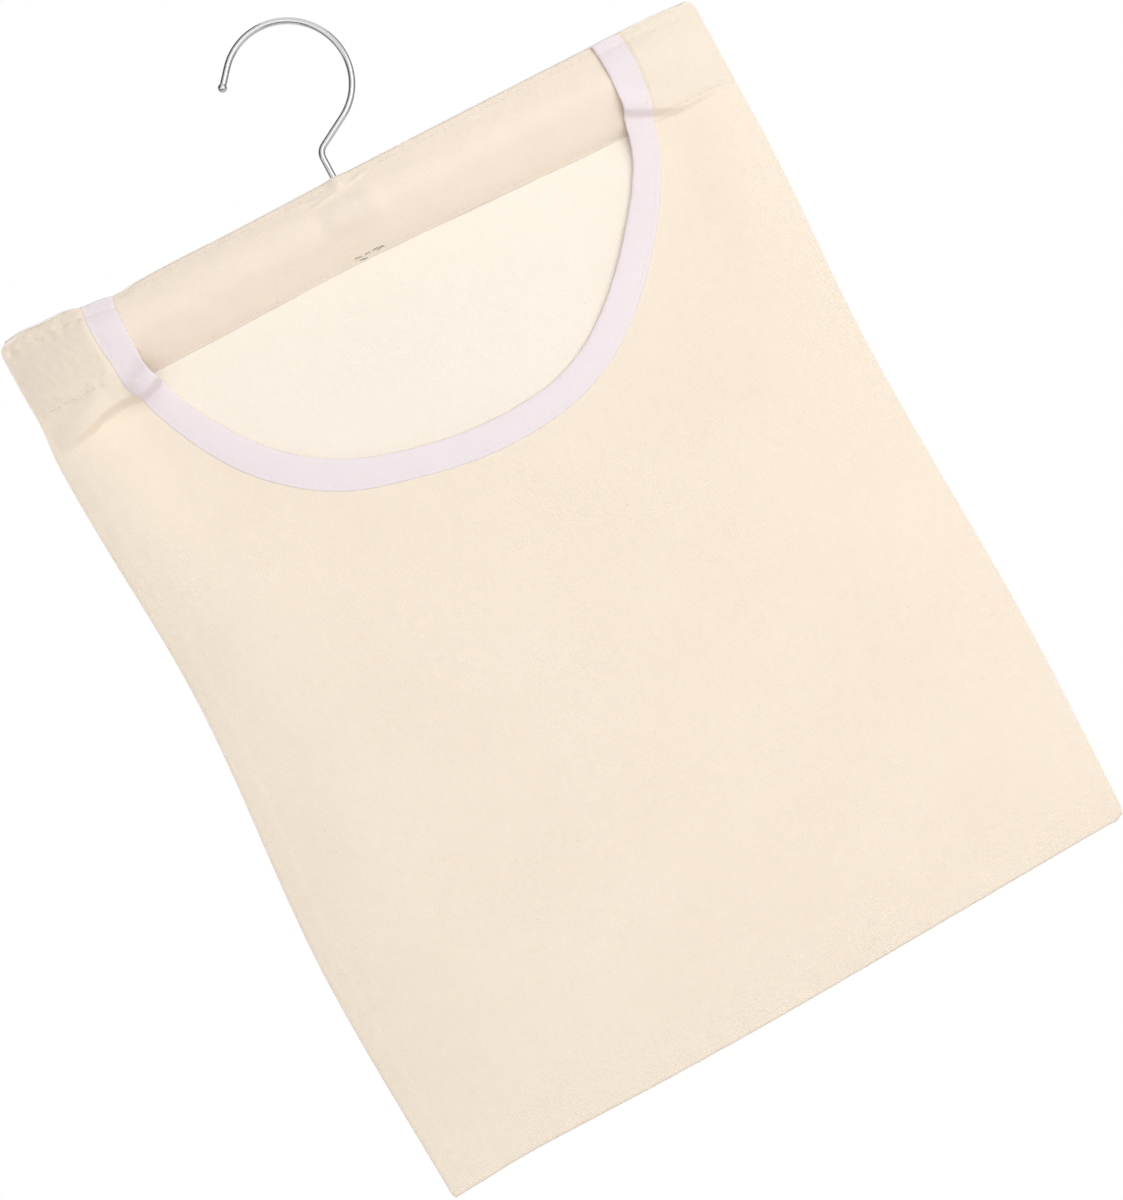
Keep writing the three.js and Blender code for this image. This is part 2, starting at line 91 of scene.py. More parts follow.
# Mouth, as distances from its centre by the angle round from the left, and its tape
MOUTH_EDGE = (
    (-2, 107.0), (8, 109.4), (12, 110.7), (16, 112.6), (18, 112.7), (20, 112.4), (22, 113.4), (27, 114.2),
    (36, 114.9), (46, 116.1), (62, 115.8), (70, 114.4), (78, 113.8), (90, 114.4), (98, 115.4), (106, 116.6),
    (114, 116.4), (122, 115.0), (132, 113.1), (140, 112.4), (150, 113.1), (156, 113.4), (159, 112.8),
    (162, 111.8), (165, 111.3), (172, 109.3), (182, 108.2),
)
TAPE_WIDTH = (
    (-2, 12.6), (10, 12.2), (15, 11.4), (19, 11.6), (22, 11.0), (30, 11.3), (36, 12.2), (50, 12.8),
    (62, 12.7), (72, 12.0), (90, 12.2), (106, 12.1), (120, 12.6), (140, 12.5), (156, 11.4), (162, 11.6),
    (168, 12.0), (182, 11.6),
)

# Uneven waves: how many are added, their lengths as shares, and what scales their sum
RIPPLE_COUNT = 5
RIPPLE_SHORTEST = 0.7
RIPPLE_STEP = 0.2
RIPPLE_SCALE = 3.0


def swell(share):
    rest = 1 - np.clip(share, 0, 1)
    return 1 - rest * rest


def step(value, start, end):
    share = np.clip((value - start) / (end - start), 0, 1)
    return share * share * (3 - 2 * share)


def hump(distance, width):
    return np.exp(-((distance / width) ** 2))


def eased(count, ease):
    """Places from 0 to 1 that lie closer together at both ends."""
    t = np.linspace(0, 1, count)
    return (1 - ease) * t + ease * (1 - np.cos(math.pi * t)) / 2


def through(points, at):
    """Smooth curve through (place, value) points, with the places in rising order."""
    place, value = np.array(points, float).T
    slope = np.gradient(value, place)
    at = np.clip(at, place[0], place[-1])
    i = np.clip(np.searchsorted(place, at) - 1, 0, len(place) - 2)
    span = place[i + 1] - place[i]
    t = (at - place[i]) / span
    rise = t * t * (3 - 2 * t)
    leave = t * (1 - t) ** 2 * span * slope[i]
    reach = t * t * (t - 1) * span * slope[i + 1]
    return value[i] + (value[i + 1] - value[i]) * rise + leave + reach


def ripple(x, z, length, seed):
    """Gentle uneven waves of about the given length, between about -1 and 1."""
    turns = np.random.default_rng(SEED + seed).uniform(0, 2 * math.pi, (RIPPLE_COUNT, 2))
    total = np.zeros(np.broadcast(x, z).shape)
    for i, (turn, phase) in enumerate(turns):
        own = length * (RIPPLE_SHORTEST + RIPPLE_STEP * i)
        run = (x * math.cos(turn) + z * math.sin(turn)) / own
        total = total + np.sin(2 * math.pi * run + phase)
    return total / RIPPLE_SCALE


def waves(x, z, shape):
    """Uneven waves with a shape of height, length and seed."""
    height, length, seed = shape
    return height * ripple(x, z, length, seed)


def running(lengths):
    return np.concatenate([[0], np.cumsum(lengths)])


def corner_inset(distance, radius):
    inside = np.clip(radius - distance, 0, radius)
    return radius - np.sqrt(radius * radius - inside * inside)


def top_edge(x):
    return TOP + through(TOP_SWAY, x)


def bottom_edge(x):
    return BOTTOM + through(BOTTOM_SWAY, x)


def corners_inset(x, z, low_corner):
    return corner_inset(TOP - z, TOP_CORNER) + corner_inset(z - bottom_edge(x), low_corner)


def left_edge(z):
    return LEFT + through(LEFT_SWAY, z) + corners_inset(LEFT, z, BOTTOM_CORNERS[0])


def right_edge(z):
    return RIGHT + through(RIGHT_SWAY, z) - corners_inset(RIGHT, z, BOTTOM_CORNERS[1])


def from_side(x, z):
    return np.minimum(x - left_edge(z), right_edge(z) - x)


# Puckers across the seams: their length, the length over which they drift, and their seed
PUCKER_HEIGHT = 0.2
PUCKER_DRIFT = 0.7
PUCKER_FADE = 9
FRONT_SIDE_PUCKER = (12.5, 60, 0)
FRONT_BOTTOM_PUCKER = (13.5, 70, 1)
BACK_SIDE_PUCKER = (12, 60, 6)
BACK_BOTTOM_PUCKER = (13, 70, 7)


def pucker(along, away, x, z, shape):
    """Ridges across a seam at a place along it, fading with the distance away from it."""
    length, drift_length, seed = shape
    drift = PUCKER_DRIFT * ripple(x, z, drift_length, seed)
    return PUCKER_HEIGHT * np.sin(2 * math.pi * (along / length + drift)) * hump(away, PUCKER_FADE)


# Folds beside the mouth: their line, their strength along it, and their sizes
LEFT_FOLD = {
    "line": (
        (-150, -115.5), (-136, -111.6), (-131, -110.2), (-124, -107.9), (-117, -106.6), (-111, -106.7),
        (-108, -107.0), (-103, -106.4), (-98, -104.2), (-92, -101.4),
    ),
    "strength": (
        (-146, 0.1), (-138, 0.8), (-131, 1.3), (-124, 1.55), (-117, 1.55), (-112, 1.8), (-107, 2.5),
        (-88, 2.5),
    ),
    "height": 2.7,
    "dip": 0.8,
    "wall": 2.3,
    "roll": 6.0,
    "fade": 5.0,
    "lean": 0.35,
}
RIGHT_FOLD = {
    "line": ((104, -91.4), (115, -95.2), (125, -99.5), (132, -102.4), (139, -104.2), (158, -103.4)),
    "strength": ((106, 1.0), (120, 1.0), (130, 0.75), (142, 0.35), (156, 0.0)),
    "height": 2.4,
    "dip": 0.8,
    "wall": 1.8,
    "roll": 3.2,
    "fade": 5.0,
    "lean": 0.3,
}
FOLD_EASE = 6.0
FOLD_END = 4


def fold(x, z, shape):
    """How far a fold lifts the cloth forward and lets it hang down."""
    away = z - through(shape["line"], x)
    first, last = shape["line"][0][0], shape["line"][-1][0]
    begins = step(x, first - FOLD_END, first + FOLD_END)
    ends = step(x, last - FOLD_END, last + FOLD_END)
    strength = np.clip(through(shape["strength"], x), 0, None) * begins * (1 - ends)
    strength = strength * hump(np.clip(away - shape["roll"], 0, None), shape["fade"])
    wall = step(away, -shape["wall"], shape["wall"])
    dip = shape["dip"] * np.exp(np.minimum(away, 0) / FOLD_EASE)
    lift = strength * ((shape["height"] + shape["dip"]) * wall - dip)
    return lift, strength * shape["lean"] * shape["height"] * wall


# Front cloth: its rise by height from the bar, and its runs up from each edge
FRONT_RISE = (
    (-60, 1.0), (-40, 1.3), (-28, 2.4), (-20, 3.8), (-12, 5.7), (-6, 7.0), (0, 7.5), (3, 7.0), (6, 5.9),
    (9, 4.6), (12, 3.3), (15.6, 2.1),
)
FRONT_DROP = 1.2
FRONT_SWAY_REACH = 16
SIDE_RUN = 46.0
SHOULDER_END_RUN = 33.0
SHOULDER_POWER = 1.15
SHOULDER_RUN = 40.0
BOTTOM_RUN = 74.0
BODY_SPAN = (12, 60)
# Lip of the mouth: how far it lies back, and where that starts under the top and in from the sides
LIP_LEAN = 5.8
LIP_FLAT = 14.0
LIP_REACH = 40
LIP_CURL = 0.2
LIP_CURL_MOST = 1.2
LIP_START = (9, 52)
LIP_SIDES = (6, 40)
# Ridge of the seam allowance under the cloth, and slow waves in the body
RIDGE = 0.2
RIDGE_START = (0, 1.5)
RIDGE_END = (7.0, 10.6)
SIDE_UNEVEN = (75, 12)
BOTTOM_UNEVEN = (80, 13)
FRONT_WAVE = (0.6, 120, 2)
# Doubled corners: left and right hem, and the crinkles as height, length and seed
CORNER_HEMS = (-98.6, -103.8)
CORNER_START = (11, 14)
EDGE_FADE = (0, 4)
DOUBLING = 0.8
DOUBLING_EDGE = (-0.6, 0.6)
DOUBLING_SIDE = (-1, 12)
CRINKLE_SHARES = (1.0, 0.75)
CRINKLE_START = (-1, 3)
CRINKLES = ((0.1, 8, 3), (0.09, 3.4, 4))
# Grooves along stitch rows: depth and width, crinkle and its width, and seed
TOP_ROW = 4.8
HEM_RISE = 1.8
ROW_GROOVE = (0.4, 1.0, 0.3, 2.6, 11)
HEM_GROOVE = (0.5, 0.9, 0.35, 2.2, 14)
GROOVE_LENGTH = 5


def front_fullness(rise, side, low):
    """How far the front has risen from its seams, from 0 at an edge to 1."""
    share = np.clip((side - SEAM_START) / SHOULDER_END_RUN, 0, 1)
    shoulder = 1 - (1 - share) ** SHOULDER_POWER
    easing = step(-rise, 0, SHOULDER_RUN)
    return (shoulder + (swell(side / SIDE_RUN) - shoulder) * easing) * swell(low / BOTTOM_RUN)


def mouth_turn(x, z):
    return np.arctan2(-(z - TOP), -(x - MIDDLE))


def lip_relief(x, z, side):
    """How far the lip lies back towards the inside, and the distance out from the mouth's edge."""
    turn = mouth_turn(x, z)
    lip = np.hypot(x - MIDDLE, z - TOP) - through(MOUTH_EDGE, np.degrees(turn))
    lying = step(TOP - z, *LIP_START) * step(side, *LIP_SIDES)
    back = LIP_LEAN * hump(np.clip(lip - LIP_FLAT, 0, None), LIP_REACH)
    curl = LIP_CURL * np.clip(1 - lip / LIP_FLAT, 0, LIP_CURL_MOST) * np.abs(np.cos(turn))
    return (back - curl) * lying, lip


def seam_relief(x, z, side, low, full, body):
    """Seam allowance under the edge, puckers along the seams and slow waves in the body."""
    edge = np.minimum(side, low)
    y = -RIDGE * (1 - step(edge, *RIDGE_END)) * step(edge, *RIDGE_START) * body
    y = y + pucker(z, side, x, z, FRONT_SIDE_PUCKER) * body * ripple(x, z, *SIDE_UNEVEN)
    y = y + pucker(x, low, x, z, FRONT_BOTTOM_PUCKER) * ripple(x, z, *BOTTOM_UNEVEN)
    return y + waves(x, z, FRONT_WAVE) * full * body


def groove(x, z, away, shape, even, crinkle):
    """What a row of stitches draws into the cloth, evenly and in crinkles."""
    depth, width, crinkle_depth, crinkle_width, seed = shape
    crinkled = crinkle_depth * crinkle * hump(away, crinkle_width) * ripple(x, z, GROOVE_LENGTH, seed)
    return depth * even * hump(away, width) + crinkled


def corner_relief(x, z, high, side, lip, body):
    """The doubled corners with their crinkles, and the grooves of the hem's and the top's rows."""
    left = x < MIDDLE
    above_hem = high - np.where(left, *CORNER_HEMS)
    corner = step(lip, *CORNER_START) * (1 - body)
    inward = step(side, *EDGE_FADE)
    y = -DOUBLING * corner * step(above_hem, *DOUBLING_EDGE) * step(side, *DOUBLING_SIDE)
    crinkle = np.where(left, *CRINKLE_SHARES) * corner * step(above_hem, *CRINKLE_START) * inward
    for shape in CRINKLES:
        y = y + crinkle * waves(x, z, shape)
    y = y + groove(x, z, above_hem - HEM_RISE, HEM_GROOVE, corner * inward, crinkle)
    above_row = high - top_edge(x) + FRONT_DROP + TOP_ROW
    return y + groove(x, z, above_row, ROW_GROOVE, inward, crinkle)


def front_cloth(x, z, out=0.0):
    """Place of the front cloth's outer face at flat coordinates, moved out by a distance."""
    x, z = np.broadcast_arrays(x, z)
    high = z + (through(TOP_SWAY, x) - FRONT_DROP) * hump(np.clip(TOP - z, 0, None), FRONT_SWAY_REACH)
    rise = high - BAR_HEIGHT
    side = from_side(x, high)
    low = high - bottom_edge(x)
    body = step(-rise, *BODY_SPAN)
    full = front_fullness(rise, side, low)
    back, lip = lip_relief(x, z, side)
    y = SEAM_DEPTH - (SEAM_DEPTH + through(FRONT_RISE, rise)) * full + back
    y = y + seam_relief(x, z, side, low, full, body)
    y = y + corner_relief(x, z, high, side, lip, body)
    for shape in (LEFT_FOLD, RIGHT_FOLD):
        lift, hang = fold(x, z, shape)
        y = y - lift
        high = high - hang
    return np.stack([x, y - out, high], -1)


def mouth_place(angle, distance):
    """Flat coordinates at a distance out from the mouth's edge."""
    reach = through(MOUTH_EDGE, angle) + distance
    turn = np.radians(angle)
    return MIDDLE - reach * np.cos(turn), TOP - reach * np.sin(turn)


# Meshes
def grid_faces(rows, columns):
    a = (np.arange(rows - 1)[:, None] * columns + np.arange(columns - 1)[None, :]).ravel()
    return np.stack([a, a + 1, a + columns + 1, a + columns], -1)


def ring_faces(rows, sides):
    """Faces between rings of points, closed at both ends."""
    faces = []
    for row in range(rows - 1):
        base = row * sides
        for i in range(sides):
            j = (i + 1) % sides
            faces.append((base + i, base + j, base + sides + j, base + sides + i))
    faces.append(tuple(range(sides))[::-1])
    faces.append(tuple((rows - 1) * sides + i for i in range(sides)))
    return faces


def joined(parts):
    """One list of points and one of faces from several pairs of them."""
    points, faces = [], []
    start = 0
    for own_points, own_faces in parts:
        points.append(own_points)
        faces += [tuple(start + i for i in face) for face in own_faces]
        start += len(own_points)
    return np.concatenate(points), faces


def add_mesh(name, points, faces, flat=None):
    """A smooth mesh object from millimetre points, with flat cloth coordinates in metres."""
    mesh = bpy.data.meshes.new(name)
    places = (np.asarray(points).reshape(-1, 3) * MM).tolist()
    mesh.from_pydata(places, [], [list(map(int, face)) for face in faces])
    if flat is not None:
        corners = np.zeros(len(mesh.loops), int)
        mesh.loops.foreach_get("vertex_index", corners)
        layer = mesh.uv_layers.new(name="flat")
        layer.data.foreach_set("uv", (np.asarray(flat).reshape(-1, 2)[corners] * MM).ravel())
    mesh.shade_smooth()
    piece = bpy.data.objects.new(name, mesh)
    scene.collection.objects.link(piece)
    return piece


def add_grid(name, points, flat):
    """A sheet from a grid of points, facing the side from which its columns run left of its rows."""
    rows, columns = points.shape[:2]
    return add_mesh(name, points, grid_faces(rows, columns), flat)


def thicken(piece, thickness=CLOTH):
    solid = piece.modifiers.new("thickness", "SOLIDIFY")
    solid.thickness = thickness * MM
    solid.offset = -1
    solid.use_even_offset = False
    return piece


def dress(piece, material, slot, body, *nodes):
    """Gives a piece its material, body and the solids it stands for. The slot argument is not used."""
    piece.data.materials.append(material)
    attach(piece, body)
    if nodes:
        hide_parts(*nodes)
    return piece


# Front piece: its grid, its inset under the tape, and its turned top edge
FRONT_ROWS = 132
FRONT_EASE = 0.45
FRONT_INSET = 1.0
CORNER_POINTS = 9
BOTTOM_POINTS = 142
TURN_BACK = 1.6
TURN_DROP = 0.3


def side_points(edge, low):
    """Points down one side from the top to the given low end, closer together near the top."""
    corner = TOP_CORNER * (1 - np.cos(np.linspace(0, math.pi / 2, CORNER_POINTS)))
    fine = np.arange(TOP_CORNER + FINE_STEP, FINE_REACH, FINE_STEP)
    coarse = np.arange(FINE_REACH, TOP - low, CLOTH_STEP)
    z = TOP - np.concatenate([corner, fine, coarse, [TOP - low]])
    return np.stack([edge(z), z], -1)


def outer_boundary():
    """The bag's edge from the left end of the top, round the bottom, to the right end of the top."""
    left = side_points(left_edge, bottom_edge(LEFT))
    right = side_points(right_edge, bottom_edge(RIGHT))[::-1]
    x = np.linspace(left[-1, 0], right[0, 0], BOTTOM_POINTS)[1:-1]
    return np.concatenate([left, np.stack([x, bottom_edge(x)], -1), right])


def make_front():
    edge = outer_boundary()
    angle = np.degrees(mouth_turn(edge[:, 0], edge[:, 1]))
    inner = np.stack(mouth_place(angle, FRONT_INSET), -1)
    share = eased(FRONT_ROWS, FRONT_EASE)
    flat = inner[:, None] + (edge - inner)[:, None] * share[None, :, None]
    points = front_cloth(flat[..., 0], flat[..., 1])
    # the top edge is turned back into the hem
    turned = np.array([0.0, TURN_BACK, -TURN_DROP])
    points = np.concatenate([points[:1] + turned, points, points[-1:] + turned])
    flat = np.concatenate([flat[:1], flat, flat[-1:]])
    return thicken(add_grid("front_cloth", points, flat))


# Section lines of the back and the sleeve, as depth and height from the top edge down
BACK_SECTION = (
    (-0.5, -66.1), (-0.3, -65.25), (0.0, -65.0), (0.4, -65.3), (0.9, -66.6), (2.1, -69.3), (3.4, -72.2),
    (4.7, -75.0), (5.9, -77.6), (6.7, -80.6), (6.9, -88.0), (BACK_DEPTH, -110.0),
)
BACK_SPACING = 0.9
SLEEVE_SECTION = (
    (-0.45, -65.6), (-1.9, -68.6), (-3.3, -71.6), (-4.6, -74.6), (-5.6, -77.6), (-6.1, -80.6), (-5.9, -83.2),
    (-5.0, -85.8), (-3.6, -88.2), (-2.0, -90.5), (-0.3, -92.8), (1.5, -95.1), (3.4, -97.3), (5.15, -98.9),
    (6.1, -99.9),
)
SLEEVE_SPACING = 0.4
SECTION_POINTS = 400
LEAST_ROWS = 8


def section(points, spacing):
    """A smooth line through section points at even steps: depths, heights and lengths along it."""
    points = np.array(points, float)
    run = running(np.hypot(*np.diff(points, axis=0).T))
    fine = np.linspace(0, run[-1], SECTION_POINTS)
    y = through(np.stack([run, points[:, 0]], -1), fine)
    z = through(np.stack([run, points[:, 1]], -1), fine)
    length = running(np.hypot(np.diff(y), np.diff(z)))
    at = np.linspace(0, length[-1], max(LEAST_ROWS, int(length[-1] / spacing)))
    return np.interp(at, length, y), np.interp(at, length, z), at


BACK_LINE = section(BACK_SECTION, BACK_SPACING)
SLEEVE_LINE = section(SLEEVE_SECTION, SLEEVE_SPACING)
SLEEVE_LENGTH = SLEEVE_LINE[2][-1]

# Room for the hook's shank in the top edge, and how far down the top edge's waves reach
SHANK_ROOM = 2.1
SHANK_REACH = 3.4
SHANK_FADE = (3, 9)
SHANK_SLIT = 4.2
SWAY_REACH = 5.0
# Back cloth: its draw towards the front at the seams, and its shoulders beyond the bar's ends
BACK_COLUMNS = 171
BACK_EASE = 0.4
FOLDED_ROW = 2
SEAM_DRAW = 1.95
BACK_SIDE_RUN = 15
BACK_BOTTOM_RUN = 16
SHOULDER_SPAN = (-110, -76)
SHOULDER_STEP = 0.6
SHOULDER_EDGE = (0, 3)
SLEEVE_END_RUN = 28.0
BOTTOM_SWAY_START = 60
BACK_BODY_SPAN = (5, 50)
BACK_WAVE = (0.55, 130, 5)
BACK_WAVE_RUN = 50


def shank_room(x, height):
    """How far the two layers of the top edge stand apart round the hook's shank."""
    return SHANK_ROOM * hump(x, SHANK_REACH) * (1 - step(TOP - height, *SHANK_FADE))


def back_relief(x, z):
    """The back's draw towards the front at its seams, with its waves and puckers."""
    side = from_side(x, z)
    low = z - bottom_edge(x)
    body = step(BAR_HEIGHT - z, *BACK_BODY_SPAN)
    below = 1 - step(z, *SHOULDER_SPAN)
    free = 1 - (1 - swell(side / BACK_SIDE_RUN)) * below
    y = -SEAM_DRAW * (1 - free * swell(low / BACK_BOTTOM_RUN))
    inner = swell(side / BACK_WAVE_RUN) * swell(low / BACK_WAVE_RUN) * body
    y = y + waves(x, z, BACK_WAVE) * inner
    y = y + pucker(z, side, x, z, BACK_SIDE_PUCKER) * body
    return y + pucker(x, low, x, z, BACK_BOTTOM_PUCKER)


def back_cloth(share, height, depth, opening):
    """Place of the back cloth's outer face at shares of its width, section heights and depths."""
    x = left_edge(height) + (right_edge(height) - left_edge(height)) * share
    low = step(TOP - height, BOTTOM_SWAY_START, TOP - BOTTOM)
    place = height + through(TOP_SWAY, x) * hump(TOP - height, SWAY_REACH) + through(BOTTOM_SWAY, x) * low
    x = left_edge(place) + (right_edge(place) - left_edge(place)) * share
    # beyond the bar's ends the cloth lies back, and it opens round the hook's shank
    end = 1 - swell((from_side(x, place) - SEAM_START) / SLEEVE_END_RUN)
    lying = BACK_DEPTH - SEAM_DRAW - SHOULDER_STEP * (1 - step(TOP - height, *SHOULDER_EDGE))
    depth = depth + (lying - depth) * end * step(place, *SHOULDER_SPAN) + opening * shank_room(x, height)
    return np.stack([x, depth + back_relief(x, place), place], -1)


def make_back():
    y, z, run = BACK_LINE
    below = np.append(np.arange(z[-1] - CLOTH_STEP, BOTTOM, -CLOTH_STEP), BOTTOM)
    depth = np.concatenate([y, np.full(len(below), y[-1])])[:, None]
    height = np.concatenate([z, below])[:, None]
    run = np.concatenate([run, run[-1] + z[-1] - below])
    opening = np.where(np.arange(len(height))[:, None] > FOLDED_ROW, 1.0, -1.0)
    points = back_cloth(eased(BACK_COLUMNS, BACK_EASE), height, depth, opening)
    flat = np.stack(np.broadcast_arrays(points[..., 0], -run[:, None]), -1)
    # the shank comes out through a slit in the folded top edge
    faces = grid_faces(len(height), BACK_COLUMNS)
    reach = np.abs(points[..., 0].ravel()[faces]).max(1)
    slit = (faces[:, 0] // BACK_COLUMNS == FOLDED_ROW) & (reach < SHANK_SLIT)
    return thicken(add_mesh("back_cloth", points, faces[~slit], flat))


def back_row(x, height):
    """A level line on the back cloth's outer face."""
    behind = slice(FOLDED_ROW + 1, None)
    depth = np.interp(-height, -BACK_LINE[1][behind], BACK_LINE[0][behind])
    return back_cloth((x - LEFT) / (RIGHT - LEFT), np.full(len(x), height), depth, 1.0)


# Sleeve: its grid, its lower row, and the saddle plate that lifts it under the hook
SLEEVE_HALF = 127.0
SLEEVE_CLOTH = 0.35
SLEEVE_ROWS = 64
SLEEVE_COLUMNS = 290
SLEEVE_LIP = 0.08
HEM_ROW = 1.7
HEM_SWAY = ((-140, -0.2), (-97, -0.5), (-2, 0.7), (59, -0.9), (109, -2.6), (156, -2.8))
HEM_SPAN = (84, 97)
HEM_GROOVE_DEPTH = 0.08
SADDLE_LIFT = 0.7
SADDLE_REACH = 11
SADDLE_INNER = 9
SADDLE_OUTER = 16
# Waves as height, length and seed, and the spans where they begin and end
SLEEVE_WAVE = (0.28, 34, 8)
SLEEVE_WAVE_START = (3, 12)
SLEEVE_WAVE_END = (36, 42)
SLEEVE_SHORT_WAVE = (0.1, 11, 9)
SLEEVE_SHORT_END = (38, 42)
# Creases under the hook as place, distance from the top edge, lean and length
CREASES = ((-12, 5.4, 0.25, 7.0), (-9, 8.0, -0.12, 5.0), (7, 5.0, -0.3, 4.5))
CREASE_HEIGHT = 0.75
CREASE_WIDTH = 0.9


def sleeve_cloth(x, run):
    """Place of the sleeve's outer face at a distance along its section from the top edge."""
    x, run = np.broadcast_arrays(x, run)
    depths, heights, lengths = SLEEVE_LINE
    y = np.interp(run, lengths, depths)
    height = np.interp(run, lengths, heights)
    z = height + through(TOP_SWAY, x) * hump(TOP - height, SWAY_REACH)
    z = z + through(HEM_SWAY, x) * step(-height, *HEM_SPAN)
    saddle = step(x, -SADDLE_OUTER, -SADDLE_INNER) * (1 - step(x, SADDLE_INNER, SADDLE_OUTER))
    out = SADDLE_LIFT * saddle * hump(height - BAR_HEIGHT, SADDLE_REACH) + shank_room(x, height)
    free = step(run, *SLEEVE_WAVE_START) * (1 - step(run, *SLEEVE_WAVE_END))
    out = out + waves(x, run, SLEEVE_WAVE) * free
    out = out + waves(x, run, SLEEVE_SHORT_WAVE) * (1 - step(run, *SLEEVE_SHORT_END))
    for place, level, lean, length in CREASES:
        away = run - level - lean * (x - place)
        out = out + CREASE_HEIGHT * hump(away, CREASE_WIDTH) * hump(x - place, length)
    out = out - HEM_GROOVE_DEPTH * hump(run - SLEEVE_LENGTH + HEM_ROW, CREASE_WIDTH)
    return np.stack([x, y - out, z], -1)


def make_sleeve():
    run = np.linspace(0, SLEEVE_LENGTH, SLEEVE_ROWS)
    run = np.insert(run, -1, SLEEVE_LENGTH - SLEEVE_LIP)[:, None]
    x = np.linspace(MIDDLE + SLEEVE_HALF, MIDDLE - SLEEVE_HALF, SLEEVE_COLUMNS)[None, :]
    points = sleeve_cloth(x, run)
    flat = np.stack(np.broadcast_arrays(points[..., 0], -run), -1)
    return thicken(add_grid("sleeve_cloth", points, flat), SLEEVE_CLOTH)


# Tape's section: distances in from its outer edge, then out from the mouth's edge, with their heights
TAPE_OUTER = (
    (3.2, 0.04), (1.6, 0.04), (0.6, 0.04), (0.1, 0.05), (0.03, 0.1), (0.1, 0.16), (0.6, 0.22), (1.2, 0.29),
    (1.9, 0.29), (2.7, 0.38), (4.0, 0.48),
)
TAPE_INNER = (
    (3.6, 0.54), (1.8, 0.52), (0.8, 0.42), (0.2, 0.18), (0.0, -0.12), (0.2, -0.5), (0.8, -0.72), (2.0, -0.8),
)
TAPE_FRONT = 0.54
TAPE_BACK = -0.8
TAPE_BACK_INSET = 1.0
TAPE_CLOTH = 0.12
TAPE_ENDS = (-0.1, 180.1)
TAPE_STEPS = 620
TAPE_RADIUS = 116
TAPE_WAVE = (0.1, 13, 10)
TAPE_FACE = 0.45


def tape_section(width):
    half = width * 0.5
    outer = [(width - inset, height) for inset, height in TAPE_OUTER]
    behind = [(half, TAPE_BACK), (width - TAPE_BACK_INSET, TAPE_BACK)]
    return outer + [(half, TAPE_FRONT)] + list(TAPE_INNER) + behind


def make_tape():
    angle = np.linspace(*TAPE_ENDS, TAPE_STEPS)[:, None]
    loop = tape_section(through(TAPE_WIDTH, angle))
    distance = np.concatenate([np.broadcast_to(reach, angle.shape) for reach, _ in loop], 1)
    out = np.broadcast_to([height for _, height in loop], distance.shape)
    x, z = mouth_place(angle, distance)
    points = front_cloth(x, z, out + waves(x, z, TAPE_WAVE) * (out > TAPE_FACE))
    along = np.broadcast_to(np.radians(angle) * TAPE_RADIUS, distance.shape)
    flat = np.stack([along, np.where(out > 0, distance, -distance)], -1)
    return thicken(add_grid("mouth_tape", points, flat), TAPE_CLOTH)


# Stitches: their length and gap, how they vary, and how their ends sink in
STITCH = 2.7
STITCH_GAP = 0.55
STITCH_START = 0.4
STITCH_VARIES = (0.9, 1.06)
STITCH_SHIFT = 0.08
STITCH_TILT = 0.12
STITCH_SINK = 0.26
STITCH_RISE = 0.34
STITCH_ROUND = 0.6
STITCH_POINTS = 7
THREAD = 0.17
THREAD_END = 0.75
THREAD_SIDES = 6
# Rows: where each runs from the middle, and how far it lies from its edge
BINDING_SPAN = (1.5, 178.5)
BINDING_INSET = 1.9
BINDING_OUT = 0.34
SLEEVE_ROW_END = 4
BACK_HEM_HEIGHT = -98.4
TOP_ROW_START = 5
TOP_ROW_SLEEVE = 105
TOP_ROW_SHOULDER = 107.5
TOP_ROW_END = 150
TOP_ROW_DOWN = 3.2
TOP_ROW_OVER_TAPE = 0.5
TAPE_IN = (107, 107.5)
TAPE_OUT = (119, 120.5)
CORNER_ROW_SPAN = (125, 151)
CORNER_ROW_RISE = 2.0
CORNER_ROW_OUT = 0.05
CORNER_THREAD = 0.21


def tube(path, radii, sides):
    """Rings round a path, with closing faces at both ends."""
    path = np.asarray(path, float)
    along = np.gradient(path, axis=0)
    along /= np.linalg.norm(along, axis=1)[:, None]
    out = np.tile([0.0, -1.0, 0.0], (len(path), 1))
    out -= along * (out * along).sum(1)[:, None]
    out /= np.linalg.norm(out, axis=1)[:, None]
    across = np.cross(along, out)
    turn = np.linspace(0, 2 * math.pi, sides, endpoint=False)
    ring = np.cos(turn)[None, :, None] * out[:, None] + np.sin(turn)[None, :, None] * across[:, None]
    points = path[:, None] + ring * np.asarray(radii, float)[:, None, None]
    return points.reshape(-1, 3), ring_faces(len(path), sides)


